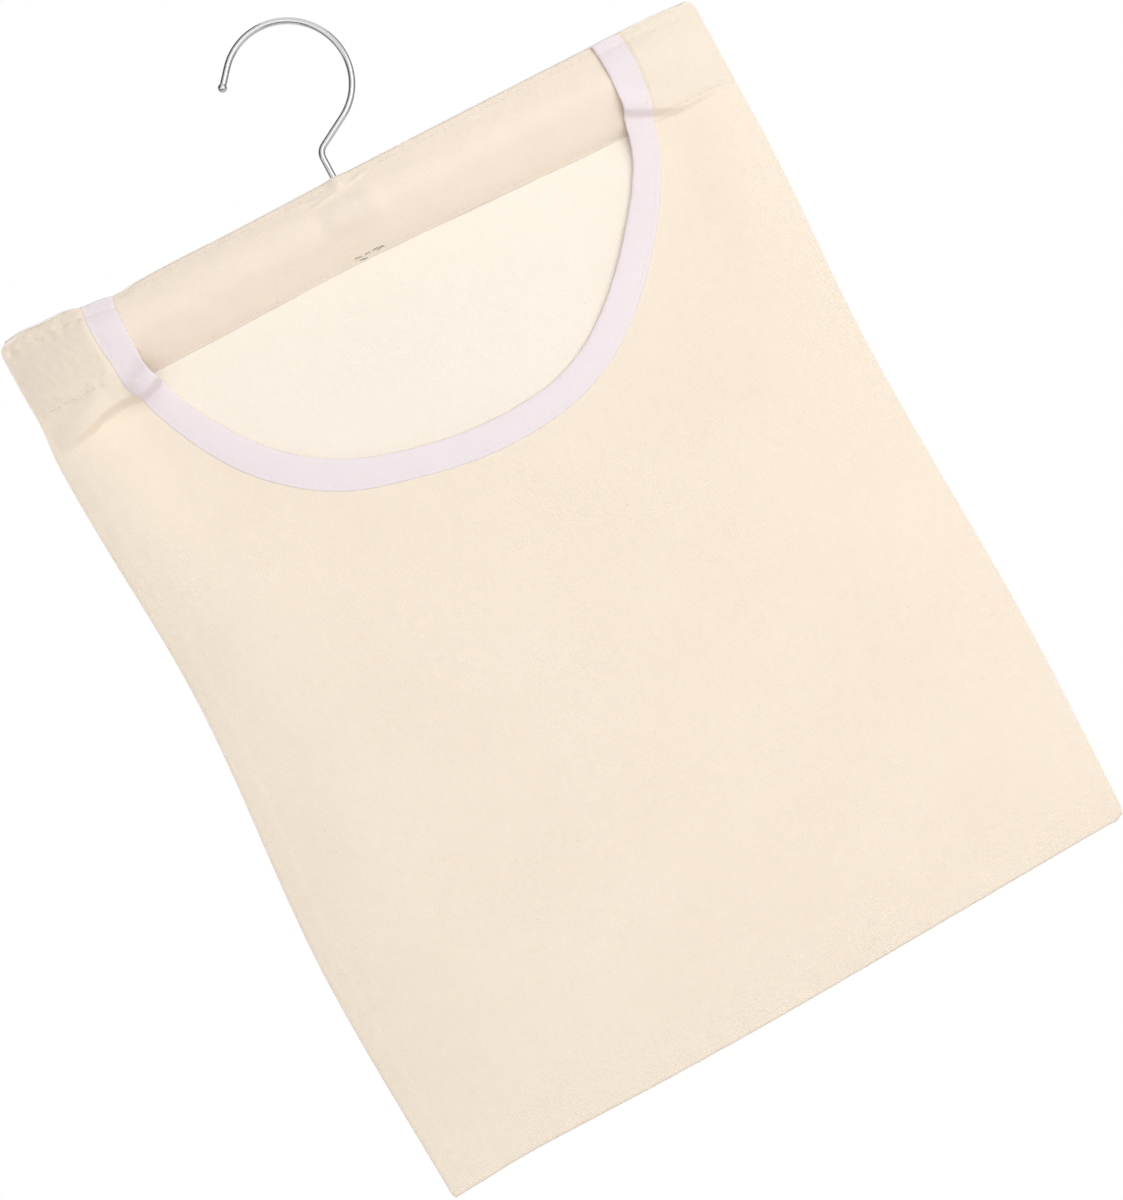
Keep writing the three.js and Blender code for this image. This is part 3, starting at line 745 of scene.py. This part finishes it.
def stitch_row(name, paths, seed, thread=THREAD):
    """Single stitches laid along paths, each with the side that it faces: 1 is the front."""
    chance = np.random.default_rng(SEED + seed)
    t = np.linspace(0, 1, STITCH_POINTS)
    swing = np.sin(math.pi * t)
    radii = thread * (THREAD_END + (1 - THREAD_END) * swing)
    stitches = []
    for path, side in paths:
        run = running(np.linalg.norm(np.diff(path, axis=0), axis=1))
        at = STITCH_START
        while at + STITCH < run[-1]:
            own = STITCH * chance.uniform(*STITCH_VARIES)
            shift = chance.uniform(-STITCH_SHIFT, STITCH_SHIFT)
            tilt = chance.uniform(-STITCH_TILT, STITCH_TILT)
            stitch = np.stack([np.interp(at + own * t, run, path[:, i]) for i in range(3)], -1)
            stitch[:, 1] += side * (STITCH_SINK - STITCH_RISE * swing ** STITCH_ROUND)
            stitch[:, 2] += shift + tilt * (t - 0.5)
            stitches.append(tube(stitch, radii, THREAD_SIDES))
            at += own + STITCH_GAP
    return add_mesh(name, *joined(stitches))


def make_top_row(side, label):
    """The row along the top edge on one side of the shank, in front and behind."""
    sleeve_x = np.linspace(side * TOP_ROW_START, MIDDLE + side * TOP_ROW_SLEEVE, 200)
    shoulder_x = np.linspace(MIDDLE + side * TOP_ROW_SHOULDER, MIDDLE + side * TOP_ROW_END, 90)
    behind_x = np.linspace(side * TOP_ROW_START, MIDDLE + side * TOP_ROW_END, 280)
    away = np.abs(shoulder_x - MIDDLE)
    over_tape = TOP_ROW_OVER_TAPE * step(away, *TAPE_IN) * (1 - step(away, *TAPE_OUT))
    paths = [
        (sleeve_cloth(sleeve_x, TOP_ROW_DOWN), 1),
        (front_cloth(shoulder_x, TOP - TOP_ROW, over_tape), 1),
        (back_row(behind_x, TOP - TOP_ROW_DOWN), -1),
    ]
    return stitch_row("top_row_" + label, paths, 3 + side)


def make_corner_row(side, label):
    hem = CORNER_HEMS[0] if side < 0 else CORNER_HEMS[1]
    first, last = (MIDDLE + side * end for end in CORNER_ROW_SPAN)
    path = front_cloth(np.linspace(first, last, 60), hem + CORNER_ROW_RISE, CORNER_ROW_OUT)
    return stitch_row("corner_row_" + label, [(path, 1)], 6 + side, CORNER_THREAD)


def make_rows():
    """Pairs of a row of stitches and its node."""
    angle = np.linspace(*BINDING_SPAN, 900)
    path = front_cloth(*mouth_place(angle, through(TAPE_WIDTH, angle) - BINDING_INSET), BINDING_OUT)
    rows = [(stitch_row("binding_row", [(path, 1)], 1), "binding_stitching")]
    half = SLEEVE_HALF - SLEEVE_ROW_END
    x = np.linspace(MIDDLE - half, MIDDLE + half, 500)
    paths = [(sleeve_cloth(x, SLEEVE_LENGTH - HEM_ROW), 1), (back_row(x, BACK_HEM_HEIGHT), -1)]
    rows.append((stitch_row("sleeve_row", paths, 2), "casing_stitching"))
    for side, label in ((-1, "left"), (1, "right")):
        rows.append((make_top_row(side, label), "top_stitching_" + label))
        rows.append((make_corner_row(side, label), "corner_stitching_" + label))
    return rows


# Tack under the hook: ends of each stitch, as place and distance up from the sleeve's lower edge
TACK_MARKS = (
    ((-7.6, 3.0), (-4.4, 2.5)), ((-5.8, 1.2), (-2.4, 0.7)), ((-3.0, 2.7), (-0.6, 2.9)),
    ((0.4, 2.7), (3.2, 3.2)), ((2.2, 2.2), (4.8, 2.6)), ((4.2, 3.1), (5.4, 2.2)),
)
TACK_SINK = 0.16
TACK_RISE = 0.3


def make_tack():
    """Short dark stitches over the sleeve's lower row, under the hook."""
    t = np.linspace(0, 1, STITCH_POINTS)[:, None]
    stitches = []
    for first, last in np.array(TACK_MARKS):
        place = first + (last - first) * t
        path = sleeve_cloth(place[:, 0], SLEEVE_LENGTH - place[:, 1])
        path[:, 1] += TACK_SINK - TACK_RISE * np.sin(math.pi * t[:, 0]) ** STITCH_ROUND
        stitches.append(tube(path, np.full(len(t), THREAD), THREAD_SIDES))
    return add_mesh("tack_thread", *joined(stitches))


# Seam allowances inside the bag: their section, wavy free edge, place and ends
STRIP_WIDTH = 8.0
STRIP_THICK = 1.1
STRIP_SIDES = 20
STRIP_STEP = 2.0
STRIP_FLATNESS = (0.5, 0.6)
STRIP_WAVE = 0.175
STRIP_WAVE_TURN = 0.9
STRIP_GAP = 0.9
SIDE_STRIP_IN = 6.0
BOTTOM_STRIP_IN = 6.5
SIDE_STRIP_ENDS = (BAR_HEIGHT - 30, BOTTOM + 18)
BOTTOM_STRIP_ENDS = (LEFT + 16, RIGHT - 18)


def rounded(wave, power, size):
    return np.sign(wave) * np.abs(wave) ** power * size / 2


def allowance(name, x, z, across):
    """A folded strip with a wavy free edge, laid inside the back along a line."""
    y = BACK_DEPTH + back_relief(x, z) - CLOTH - STRIP_GAP
    centre = np.stack([x, y, z], -1)
    count = len(centre)
    turn = np.linspace(0, 2 * math.pi, STRIP_SIDES, endpoint=False)
    wide = rounded(np.cos(turn), STRIP_FLATNESS[0], STRIP_WIDTH)
    deep = rounded(np.sin(turn), STRIP_FLATNESS[1], STRIP_THICK)
    wave = STRIP_WAVE * np.sin(np.arange(count) * STRIP_WAVE_TURN)
    reach = wide[None, :] + wave[:, None] * (wide > 0)[None, :]
    points = centre[:, None] + np.array(across) * reach[..., None]
    points[..., 1] += deep[None, :]
    along = np.arange(count)[:, None] * STRIP_STEP
    flat = np.stack(np.broadcast_arrays(wide[None, :], along), -1)
    return add_mesh(name, points, ring_faces(count, STRIP_SIDES), flat)


def make_allowances():
    """Pairs of a seam allowance and its node."""
    pieces = []
    z = np.arange(*SIDE_STRIP_ENDS, -STRIP_STEP)
    for side, label, edge in ((1.0, "left", left_edge), (-1.0, "right", right_edge)):
        strip = allowance(label + "_allowance", edge(z) + side * SIDE_STRIP_IN, z, (side, 0.0, 0.0))
        pieces.append((strip, label + "_seam"))
    x = np.arange(*BOTTOM_STRIP_ENDS, STRIP_STEP)
    strip = allowance("bottom_allowance", x, bottom_edge(x) + BOTTOM_STRIP_IN, (0.0, 0.0, 1.0))
    pieces.append((strip, "bottom_seam"))
    return pieces


# Wire hook: its crook, kink, balled tip and headed lower end
WIRE = 1.4
WIRE_SIDES = 28
CROOK_RADIUS = 25.0
CROOK_OFFSET = 2.0
CROOK_HEIGHT = WIRE - CROOK_RADIUS
CROOK_END = math.radians(140)
KINK_HEIGHT = CROOK_HEIGHT - CROOK_RADIUS - 5.0
BEND_RADIUS = 5.0
TIP_RUN = 8.0
TIP_START = 0.3
TIP_BALL = 1.9
TIP_NECK = 1.2
TIP_POINT = 0.02
HEAD_RADIUS = 2.4
HEAD_HEIGHT = 1.2
HEAD_FOOT = -86.2
HEAD_EDGE = 0.15
HEAD_RINGS = (0.08, 0.2)
RING_STEP = 0.7
RING_GAP = 0.01
BALL_RINGS = 22


def arc(centre, radius, start, end, count):
    turn = np.linspace(start, end, count)
    return np.stack([centre[0] + radius * np.cos(turn), centre[1] + radius * np.sin(turn)], -1)


def hook_line():
    """The wire's centre line from its headed foot to its tip, as places in X and Z."""
    rise = CROOK_HEIGHT - KINK_HEIGHT
    turn = math.atan2(CROOK_OFFSET, rise) + math.asin(CROOK_RADIUS / math.hypot(CROOK_OFFSET, rise))
    bend = KINK_HEIGHT - BEND_RADIUS * math.tan(turn / 2)
    shank = np.stack([np.zeros(40), np.linspace(HEAD_FOOT, bend, 40)], -1)
    kink = arc((BEND_RADIUS, bend), BEND_RADIUS, math.pi, math.pi - turn, 24)[1:]
    crook = arc((CROOK_OFFSET, CROOK_HEIGHT), CROOK_RADIUS, -turn, CROOK_END, 190)
    way = np.array([-math.sin(CROOK_END), math.cos(CROOK_END)])
    tip = crook[-1] + way * np.linspace(TIP_START, TIP_RUN + TIP_BALL, 40)[:, None]
    return np.concatenate([shank, kink, crook, tip])


def make_hook():
    line = hook_line()
    run = running(np.hypot(*np.diff(line, axis=0).T))
    total = run[-1]
    near, far = HEAD_RINGS
    head = [0, near, far, HEAD_HEIGHT - far, HEAD_HEIGHT - near, HEAD_HEIGHT, HEAD_HEIGHT + HEAD_EDGE]
    wire = np.arange(HEAD_HEIGHT + 1, total - 2 * TIP_BALL - TIP_NECK, RING_STEP)
    ball = total - TIP_BALL * (1 + np.cos(np.linspace(0, math.pi, BALL_RINGS)[:-1]))
    steps = np.unique(np.concatenate([head, wire, ball]))
    from_ball = steps - (total - TIP_BALL)
    radii = np.maximum(
        np.where(from_ball < 0, WIRE, TIP_POINT),
        np.sqrt(np.clip(TIP_BALL ** 2 - from_ball ** 2, 0, None)),
    )
    radii[steps < HEAD_HEIGHT + RING_GAP] = HEAD_RADIUS
    radii[steps < RING_GAP] = HEAD_RADIUS - HEAD_EDGE
    x = np.interp(steps, run, line[:, 0])
    z = np.interp(steps, run, line[:, 1])
    points, faces = tube(np.stack([x, np.zeros(len(x)), z], -1), radii, WIRE_SIDES)
    around = np.arange(WIRE_SIDES)[None, :] / WIRE_SIDES * 2 * math.pi * WIRE
    flat = np.stack(np.broadcast_arrays(around, steps[:, None]), -1)
    return add_mesh("hook_wire", points, faces, flat)


# Materials
WHITE = (1.0, 1.0, 1.0, 1.0)


def new_material(name):
    material = bpy.data.materials.new(name)
    material.use_nodes = True
    tree = material.node_tree
    return material, tree, tree.nodes["Principled BSDF"]


def set_inputs(tree, node, inputs):
    """Sets a node's inputs from values, or links them where the value is another node's output."""
    for key, value in inputs.items():
        if isinstance(value, bpy.types.NodeSocket):
            tree.links.new(value, node.inputs[key])
        else:
            node.inputs[key].default_value = value


def add_node(tree, kind, inputs=None, **settings):
    node = tree.nodes.new("ShaderNode" + kind)
    for key, value in settings.items():
        setattr(node, key, value)
    set_inputs(tree, node, inputs or {})
    return node


def maths(tree, operation, first, second=0.0, third=0.0, clamp=False):
    node = add_node(tree, "Math", {0: first, 1: second, 2: third}, operation=operation, use_clamp=clamp)
    return node.outputs[0]


def times(tree, first, second):
    return maths(tree, "MULTIPLY", first, second)


def scaled(tree, value, factor, more, clamp=False):
    """A value times a factor, with more added."""
    return maths(tree, "MULTIPLY_ADD", value, factor, more, clamp)


def mix_colour(tree, share, first, second):
    return add_node(tree, "Mix", {0: share, 6: first, 7: second}, data_type="RGBA").outputs[2]


def toned(tree, share, tones):
    light, dark = tones
    return mix_colour(tree, share, (*dark, 1.0), (*light, 1.0))


def ranged(tree, value, low, high, start=0.0, end=1.0, kind="LINEAR"):
    """A value between start and end, moved to lie between low and high."""
    inputs = {0: value, 1: start, 2: end, 3: low, 4: high}
    return add_node(tree, "MapRange", inputs, interpolation_type=kind).outputs[0]


def ramp(tree, value, start, end):
    return ranged(tree, value, 0.0, 1.0, start, end, "SMOOTHSTEP")


def noise(tree, vector, scale, detail=2.0, roughness=0.5):
    inputs = {"Vector": vector, "Scale": scale, "Detail": detail, "Roughness": roughness}
    return add_node(tree, "TexNoise", inputs).outputs["Fac"]


def stretched(tree, vector, *scales):
    return add_node(tree, "VectorMath", {0: vector, 1: scales}, operation="MULTIPLY").outputs[0]


def bumped(tree, height, strength, distance):
    return add_node(tree, "Bump", {"Strength": strength, "Distance": distance, "Height": height}).outputs[0]


def flat_place(tree):
    return add_node(tree, "UVMap", uv_map="flat").outputs["UV"]


def object_place(tree):
    return add_node(tree, "TexCoord").outputs["Object"]


# Cloth's tones, light and dark, the grey of painted shade, and the colour of seed flecks
FRONT_TONES = ((0.97, 0.85, 0.71), (0.89, 0.765, 0.63))
# The back's tones are lighter than the front's: partly a lighter cloth, and partly painted light that
# brightens the inside of the mouth against its shade.
BACK_TONES = ((0.985, 0.915, 0.81), (0.93, 0.85, 0.74))
SLEEVE_TONES = ((0.965, 0.835, 0.71), (0.89, 0.765, 0.64))
TAPE_TONES = ((0.915, 0.825, 0.845), (0.85, 0.76, 0.785))
PAINTED_SHADE_GREY = (0.66, 0.575, 0.545, 1.0)
FLECK = (0.42, 0.26, 0.13, 1.0)
# Weaves: pitch of the threads in millimetres, share of cells without a fleck, and depth in metres
CALICO = (0.45, 0.9, 0.00012)
TAPE_COTTON = (0.3, 0.985, 0.00008)
BANDS_PER_UNIT = math.pi / 20
SLUB_LENGTHS = (90.0, 1500.0)
CLOUD_SCALE = 22.0
NAP_SCALE = 900.0
FLECK_SCALE = 210.0
FLECK_SIZE = 0.055
FLECK_STRENGTH = 0.3
SLUB_TONE = 0.4
THREAD_TONE = 0.1
CLOUD_TONE = 0.5
LEAST_TONE = 0.05
TONE_DROP = 0.15
SLUB_HEIGHT = 0.9
THREAD_HEIGHT = 0.5
NAP_HEIGHT = 0.5


def weave_cloth(name, tones, weave, patch=None):
    """Plain-weave cotton with slubs, clouds of tone and seed flecks, on its flat coordinates."""
    material, tree, shader = new_material(name)
    pitch, unflecked, depth = weave
    flat = flat_place(tree)
    bands = {
        "Vector": flat, "Scale": BANDS_PER_UNIT / (pitch * MM), "Distortion": 2.6, "Detail": 2.0,
        "Detail Scale": 1.2,
    }
    warp, weft = (add_node(tree, "TexWave", bands, bands_direction=way).outputs["Fac"] for way in "XY")
    threads = times(tree, scaled(tree, warp, 2.0, -1.0), scaled(tree, weft, 2.0, -1.0))
    long, short = SLUB_LENGTHS
    slub_across = noise(tree, stretched(tree, flat, long, short, 1.0), 1.0)
    slub_along = noise(tree, stretched(tree, flat, short, long, 1.0), 1.0)
    slubs = maths(tree, "ADD", slub_across, slub_along)
    cloud = noise(tree, flat, CLOUD_SCALE, 3.0)
    nap = noise(tree, flat, NAP_SCALE)
    tone = scaled(tree, slubs, SLUB_TONE, LEAST_TONE)
    tone = scaled(tree, threads, THREAD_TONE, tone)
    tone = scaled(tree, cloud, CLOUD_TONE, tone)
    tone = maths(tree, "SUBTRACT", tone, TONE_DROP, clamp=True)
    colour = toned(tree, tone, tones)
    # painted shade: mixes grey into the cloth where the given mask lays shade
    if patch is not None:
        colour = mix_colour(tree, patch(tree), colour, PAINTED_SHADE_GREY)
    cells = add_node(tree, "TexVoronoi", {"Vector": flat, "Scale": FLECK_SCALE}, feature="F1").outputs
    chosen = add_node(tree, "SeparateColor", {0: cells["Color"]}).outputs[0]
    rare = maths(tree, "GREATER_THAN", chosen, unflecked)
    small = maths(tree, "LESS_THAN", cells["Distance"], FLECK_SIZE)
    fleck = times(tree, times(tree, rare, small), FLECK_STRENGTH)
    height = scaled(tree, threads, THREAD_HEIGHT, times(tree, slubs, SLUB_HEIGHT))
    height = scaled(tree, nap, NAP_HEIGHT, height)
    set_inputs(tree, shader, {
        "Base Color": mix_colour(tree, fleck, colour, FLECK),
        "Roughness": ranged(tree, nap, 0.84, 0.98),
        "Normal": bumped(tree, height, 0.6, depth),
        "Specular IOR Level": 0.2,
        "Sheen Weight": 0.12,
        "Sheen Roughness": 0.6,
    })
    return material


# Painted shade, in metres: the saddle's edges, and the level and slope of the corners' hems
SADDLE_ENDS = ((-0.017, -0.008), (0.012, 0.004))
SADDLE_LEVELS = ((-0.092, -0.086), (-0.070, -0.077))
HEM_SLOPE = 0.0186
HEM_LEVEL = (-0.1025, -0.0995)
CORNER_PLACES = (-0.1, 0.1)


def saddle_painted_shade(tree):
    """Painted shade: greys the sleeve's cloth where the steel saddle behind the thin cloth shows through."""
    x, _, z = add_node(tree, "SeparateXYZ", {0: object_place(tree)}).outputs
    across = times(tree, *(ramp(tree, x, *edge) for edge in SADDLE_ENDS))
    upright = times(tree, *(ramp(tree, z, *edge) for edge in SADDLE_LEVELS))
    uneven = noise(tree, object_place(tree), 160.0, 3.0)
    grey = scaled(tree, uneven, 0.24, 0.04)
    return times(tree, times(tree, across, upright), grey)


def corner_painted_shade(tree):
    """Painted shade: greys the doubled corners, which look greyer than single cloth, and more so on the left
    shoulder, which turns away from the light.
    """
    x, _, z = add_node(tree, "SeparateXYZ", {0: object_place(tree)}).outputs
    doubled = ramp(tree, scaled(tree, x, HEM_SLOPE, z), *HEM_LEVEL)
    side = ranged(tree, x, *CRINKLE_SHARES, *CORNER_PLACES)
    uneven = noise(tree, object_place(tree), 420.0, 3.0)
    grey = scaled(tree, uneven, 0.12, 0.05)
    return times(tree, doubled, times(tree, side, grey))


# Tones of threads, wire, zinc and wood: light and dark
CREAM_THREAD = ((0.92, 0.81, 0.69), (0.80, 0.69, 0.57))
WHITE_THREAD = ((0.92, 0.83, 0.85), (0.82, 0.73, 0.75))
DARK_THREAD = ((0.30, 0.29, 0.28), (0.16, 0.155, 0.15))
WIRE_TONES = ((0.76, 0.76, 0.765), (0.42, 0.42, 0.425))
ZINC_TONES = ((0.68, 0.7, 0.71), (0.5, 0.52, 0.53))
WOOD_TONES = ((0.76, 0.58, 0.36), (0.5, 0.33, 0.17))
WIRE_LINES = (2600.0, 26.0, 1.0)
# Painted reflection: broad streaks along the wire, which darken it towards its dark tone
WIRE_REFLECTION_STREAKS = (620.0, 9.0, 1.0)
WOOD_GRAIN = (9.0, 240.0, 240.0)


def thread_material(name, tones):
    """Twisted cotton thread."""
    material, tree, shader = new_material(name)
    place = object_place(tree)
    twisting = {"Vector": place, "Scale": 420.0, "Distortion": 2.0, "Detail": 1.0}
    twist = add_node(tree, "TexWave", twisting, bands_direction="DIAGONAL").outputs["Fac"]
    uneven = noise(tree, place, 700.0)
    tone = scaled(tree, twist, 0.5, times(tree, uneven, 0.5), clamp=True)
    set_inputs(tree, shader, {
        "Base Color": toned(tree, tone, tones),
        "Normal": bumped(tree, twist, 0.4, 0.0001),
        "Roughness": ranged(tree, uneven, 0.6, 0.85),
        "Sheen Weight": 0.2,
    })
    return material


def wire_material():
    """Bright plated wire with drawing lines along it, broad dark streaks along it that are painted
    reflection, and specks in the plating.
    """
    material, tree, shader = new_material("plated_wire")
    flat = flat_place(tree)
    lines = noise(tree, stretched(tree, flat, *WIRE_LINES), 1.0, 2.0, 0.6)
    painted_reflection = noise(tree, stretched(tree, flat, *WIRE_REFLECTION_STREAKS), 1.0, 1.0)
    specks = noise(tree, flat, 2400.0)
    # painted reflection: the broad streaks darken the wire's colour
    tone = scaled(tree, painted_reflection, 1.6, -0.7)
    tone = scaled(tree, lines, 0.8, tone, clamp=True)
    set_inputs(tree, shader, {
        "Base Color": toned(tree, tone, WIRE_TONES),
        "Roughness": ranged(tree, specks, 0.08, 0.22),
        "Normal": bumped(tree, maths(tree, "ADD", lines, specks), 0.25, 0.00006),
        "Metallic": 1.0,
    })
    return material


def zinc_material():
    """Zinc plate with its crystals as patches of tone."""
    material, tree, shader = new_material("zinc_plate")
    place = object_place(tree)
    crystals = add_node(tree, "TexVoronoi", {"Vector": place, "Scale": 420.0}, feature="F1").outputs["Color"]
    grey = add_node(tree, "SeparateColor", {0: crystals}).outputs[0]
    set_inputs(tree, shader, {
        "Base Color": toned(tree, grey, ZINC_TONES),
        "Roughness": ranged(tree, noise(tree, place, 900.0), 0.35, 0.6),
        "Metallic": 1.0,
    })
    return material


def wood_material():
    """Sanded softwood with its grain along the bar."""
    material, tree, shader = new_material("bar_wood")
    along = stretched(tree, object_place(tree), *WOOD_GRAIN)
    growth = {"Vector": along, "Scale": 0.5, "Distortion": 5.0, "Detail": 3.0}
    rings = add_node(tree, "TexWave", growth, wave_type="RINGS", rings_direction="X").outputs["Fac"]
    pores = noise(tree, along, 6.0, 4.0)
    tone = scaled(tree, rings, 0.6, times(tree, pores, 0.4), clamp=True)
    set_inputs(tree, shader, {
        "Base Color": toned(tree, tone, WOOD_TONES),
        "Normal": bumped(tree, pores, 0.3, 0.0002),
        "Roughness": ranged(tree, pores, 0.5, 0.75),
    })
    return material


# Stage, in metres. Lamps: name, place, size, power, and whether matt and bright surfaces show them
AMBIENT = 0.46
LAMP_AIM = (MIDDLE * MM, 0.0, -0.25)
LAMPS = (
    ("key", (0.4, -1.1, 0.0), 1.5, 10.4, True, False),
    ("front", (0.12, -1.6, -0.45), 1.6, 2.7, True, True),
    ("gleam", (0.5, -1.1, 0.05), 0.45, 1.4, False, True),
    ("rear", (-0.3, 1.3, 0.0), 1.2, 6.5, True, False),
    ("left", (-1.3, 0.45, -0.2), 0.5, 5.0, True, False),
    ("right", (1.3, 0.45, -0.2), 0.5, 5.0, True, False),
)
FLOOR_HEIGHT = -1.0
FLOOR_REACH = (0.45, 1.0)
FLOOR_PAINT = (0.88, 0.88, 0.87, 1.0)
FLOOR_GLOW = 0.25
MATT = 0.9
# Dark cards round the hook, which only its bright wire shows: their tone and corners
CARDS = (
    (0.12, ((-0.9, -0.3, -0.95), (-0.9, 0.35, -0.95), (-0.9, 0.35, 0.6), (-0.9, -0.3, 0.6))),
    (0.14, ((-0.9, -1.0, 0.35), (-0.9, 0.4, 0.35), (0.1, 0.4, 1.0), (0.1, -0.5, 1.0))),
    (0.12, ((-1.0, -0.6, -0.95), (0.05, -0.6, -0.95), (0.05, -0.6, -0.4), (-1.0, -0.6, -0.25))),
    (0.28, ((0.9, -0.25, -0.9), (0.9, 0.5, -0.9), (0.9, 0.5, 0.7), (0.9, -0.25, 0.7))),
)


def add_camera():
    camera = bpy.data.objects.new("camera", bpy.data.cameras.new("camera"))
    camera.data.sensor_fit = "HORIZONTAL"
    camera.data.sensor_width = SENSOR
    camera.data.lens = LENS
    forward = (Vector(CAMERA_AIM) - Vector(CAMERA_PLACE)).normalized()
    right = forward.cross(Vector(CAMERA_UP)).normalized()
    turn = Matrix((right, right.cross(forward), -forward)).transposed()
    camera.matrix_world = Matrix.Translation(CAMERA_PLACE) @ turn.to_4x4()
    scene.collection.objects.link(camera)
    scene.camera = camera


def add_lamp(name, place, size, power, on_matt, on_bright):
    light = bpy.data.lights.new(name, "AREA")
    light.size = size
    light.energy = power
    lamp = bpy.data.objects.new(name, light)
    turn = (Vector(LAMP_AIM) - Vector(place)).to_track_quat("-Z", "Y")
    lamp.matrix_world = Matrix.Translation(place) @ turn.to_matrix().to_4x4()
    lamp.visible_diffuse = on_matt
    lamp.visible_glossy = on_bright
    scene.collection.objects.link(lamp)


def add_panel(name, corners, material):
    panel = add_mesh(name, np.array(corners) / MM, [(0, 1, 2, 3)])
    panel.data.materials.append(material)
    return panel


def add_floor():
    """A pale floor that fades out round the object."""
    material, tree, shader = new_material("floor_paint")
    foot = {0: object_place(tree), 1: (0.0, 0.0, FLOOR_HEIGHT)}
    away = add_node(tree, "VectorMath", foot, operation="DISTANCE").outputs[1]
    seen = add_node(tree, "LightPath").outputs["Is Camera Ray"]
    set_inputs(tree, shader, {
        "Base Color": FLOOR_PAINT,
        "Roughness": MATT,
        "Alpha": ranged(tree, away, 1.0, 0.0, *FLOOR_REACH, "SMOOTHSTEP"),
        "Emission Color": WHITE,
        "Emission Strength": times(tree, seen, FLOOR_GLOW),
    })
    reach = FLOOR_REACH[1]
    corners = [(-reach, -reach), (reach, -reach), (reach, reach), (-reach, reach)]
    add_panel("floor", [(x, y, FLOOR_HEIGHT) for x, y in corners], material)


def add_cards():
    for tone, corners in CARDS:
        material, tree, shader = new_material("dark_card")
        set_inputs(tree, shader, {"Base Color": (tone, tone, tone, 1.0), "Roughness": MATT})
        card = add_panel("card", corners, material)
        for way in ("camera", "diffuse", "shadow", "transmission"):
            setattr(card, "visible_" + way, False)


def add_world():
    """White where the camera and bright surfaces look, and dimmer as the light on matt ones."""
    world = bpy.data.worlds.new("studio")
    scene.world = world
    world.use_nodes = True
    tree = world.node_tree
    tree.nodes.clear()
    path = add_node(tree, "LightPath").outputs
    seen = maths(tree, "MAXIMUM", path["Is Camera Ray"], path["Is Glossy Ray"])
    seen = maths(tree, "MAXIMUM", seen, path["Is Transmission Ray"])
    ambient = add_node(tree, "Background", {"Color": WHITE, "Strength": AMBIENT})
    white = add_node(tree, "Background", {"Color": WHITE, "Strength": 1.0})
    mixed = add_node(tree, "MixShader", {0: seen, 1: ambient.outputs[0], 2: white.outputs[0]})
    add_node(tree, "OutputWorld", {0: mixed.outputs[0]})


add_camera()
add_world()
add_floor()
add_cards()
for lamp in LAMPS:
    add_lamp(*lamp)
scene.view_settings.view_transform = "Standard"

front_calico = weave_cloth("front_calico", FRONT_TONES, CALICO, corner_painted_shade)
back_calico = weave_cloth("back_calico", BACK_TONES, CALICO)
sleeve_calico = weave_cloth("sleeve_calico", SLEEVE_TONES, CALICO, saddle_painted_shade)
tape_cotton = weave_cloth("tape_cotton", TAPE_TONES, TAPE_COTTON)
cream_thread = thread_material("cream_thread", CREAM_THREAD)
white_thread = thread_material("white_thread", WHITE_THREAD)
dark_thread = thread_material("dark_thread", DARK_THREAD)

front = dress(make_front(), front_calico, "calico", "bag", "front_panel")
back = dress(make_back(), back_calico, "calico", "bag", "back_panel")
sleeve = dress(make_sleeve(), sleeve_calico, "calico", "bag", "bar_casing")
tape = dress(make_tape(), tape_cotton, "binding_tape", "bag", "mouth_binding")
seams = [dress(piece, back_calico, "calico", "bag", node) for piece, node in make_allowances()]
for piece, node in make_rows():
    dress(piece, white_thread if node == "binding_stitching" else cream_thread, "thread", "bag", node)
dress(make_tack(), dark_thread, "dark_thread", "bag", "hook_tack")
dress(make_hook(), wire_material(), "plated_wire", "hook", "hook")

# The washer, saddle and bar keep their solids' meshes
zinc = zinc_material()
for name, material in (("hook_washer", zinc), ("hook_saddle", zinc), ("hanger_bar", wood_material())):
    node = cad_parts[name]
    node.data.materials.clear()
    node.data.materials.append(material)
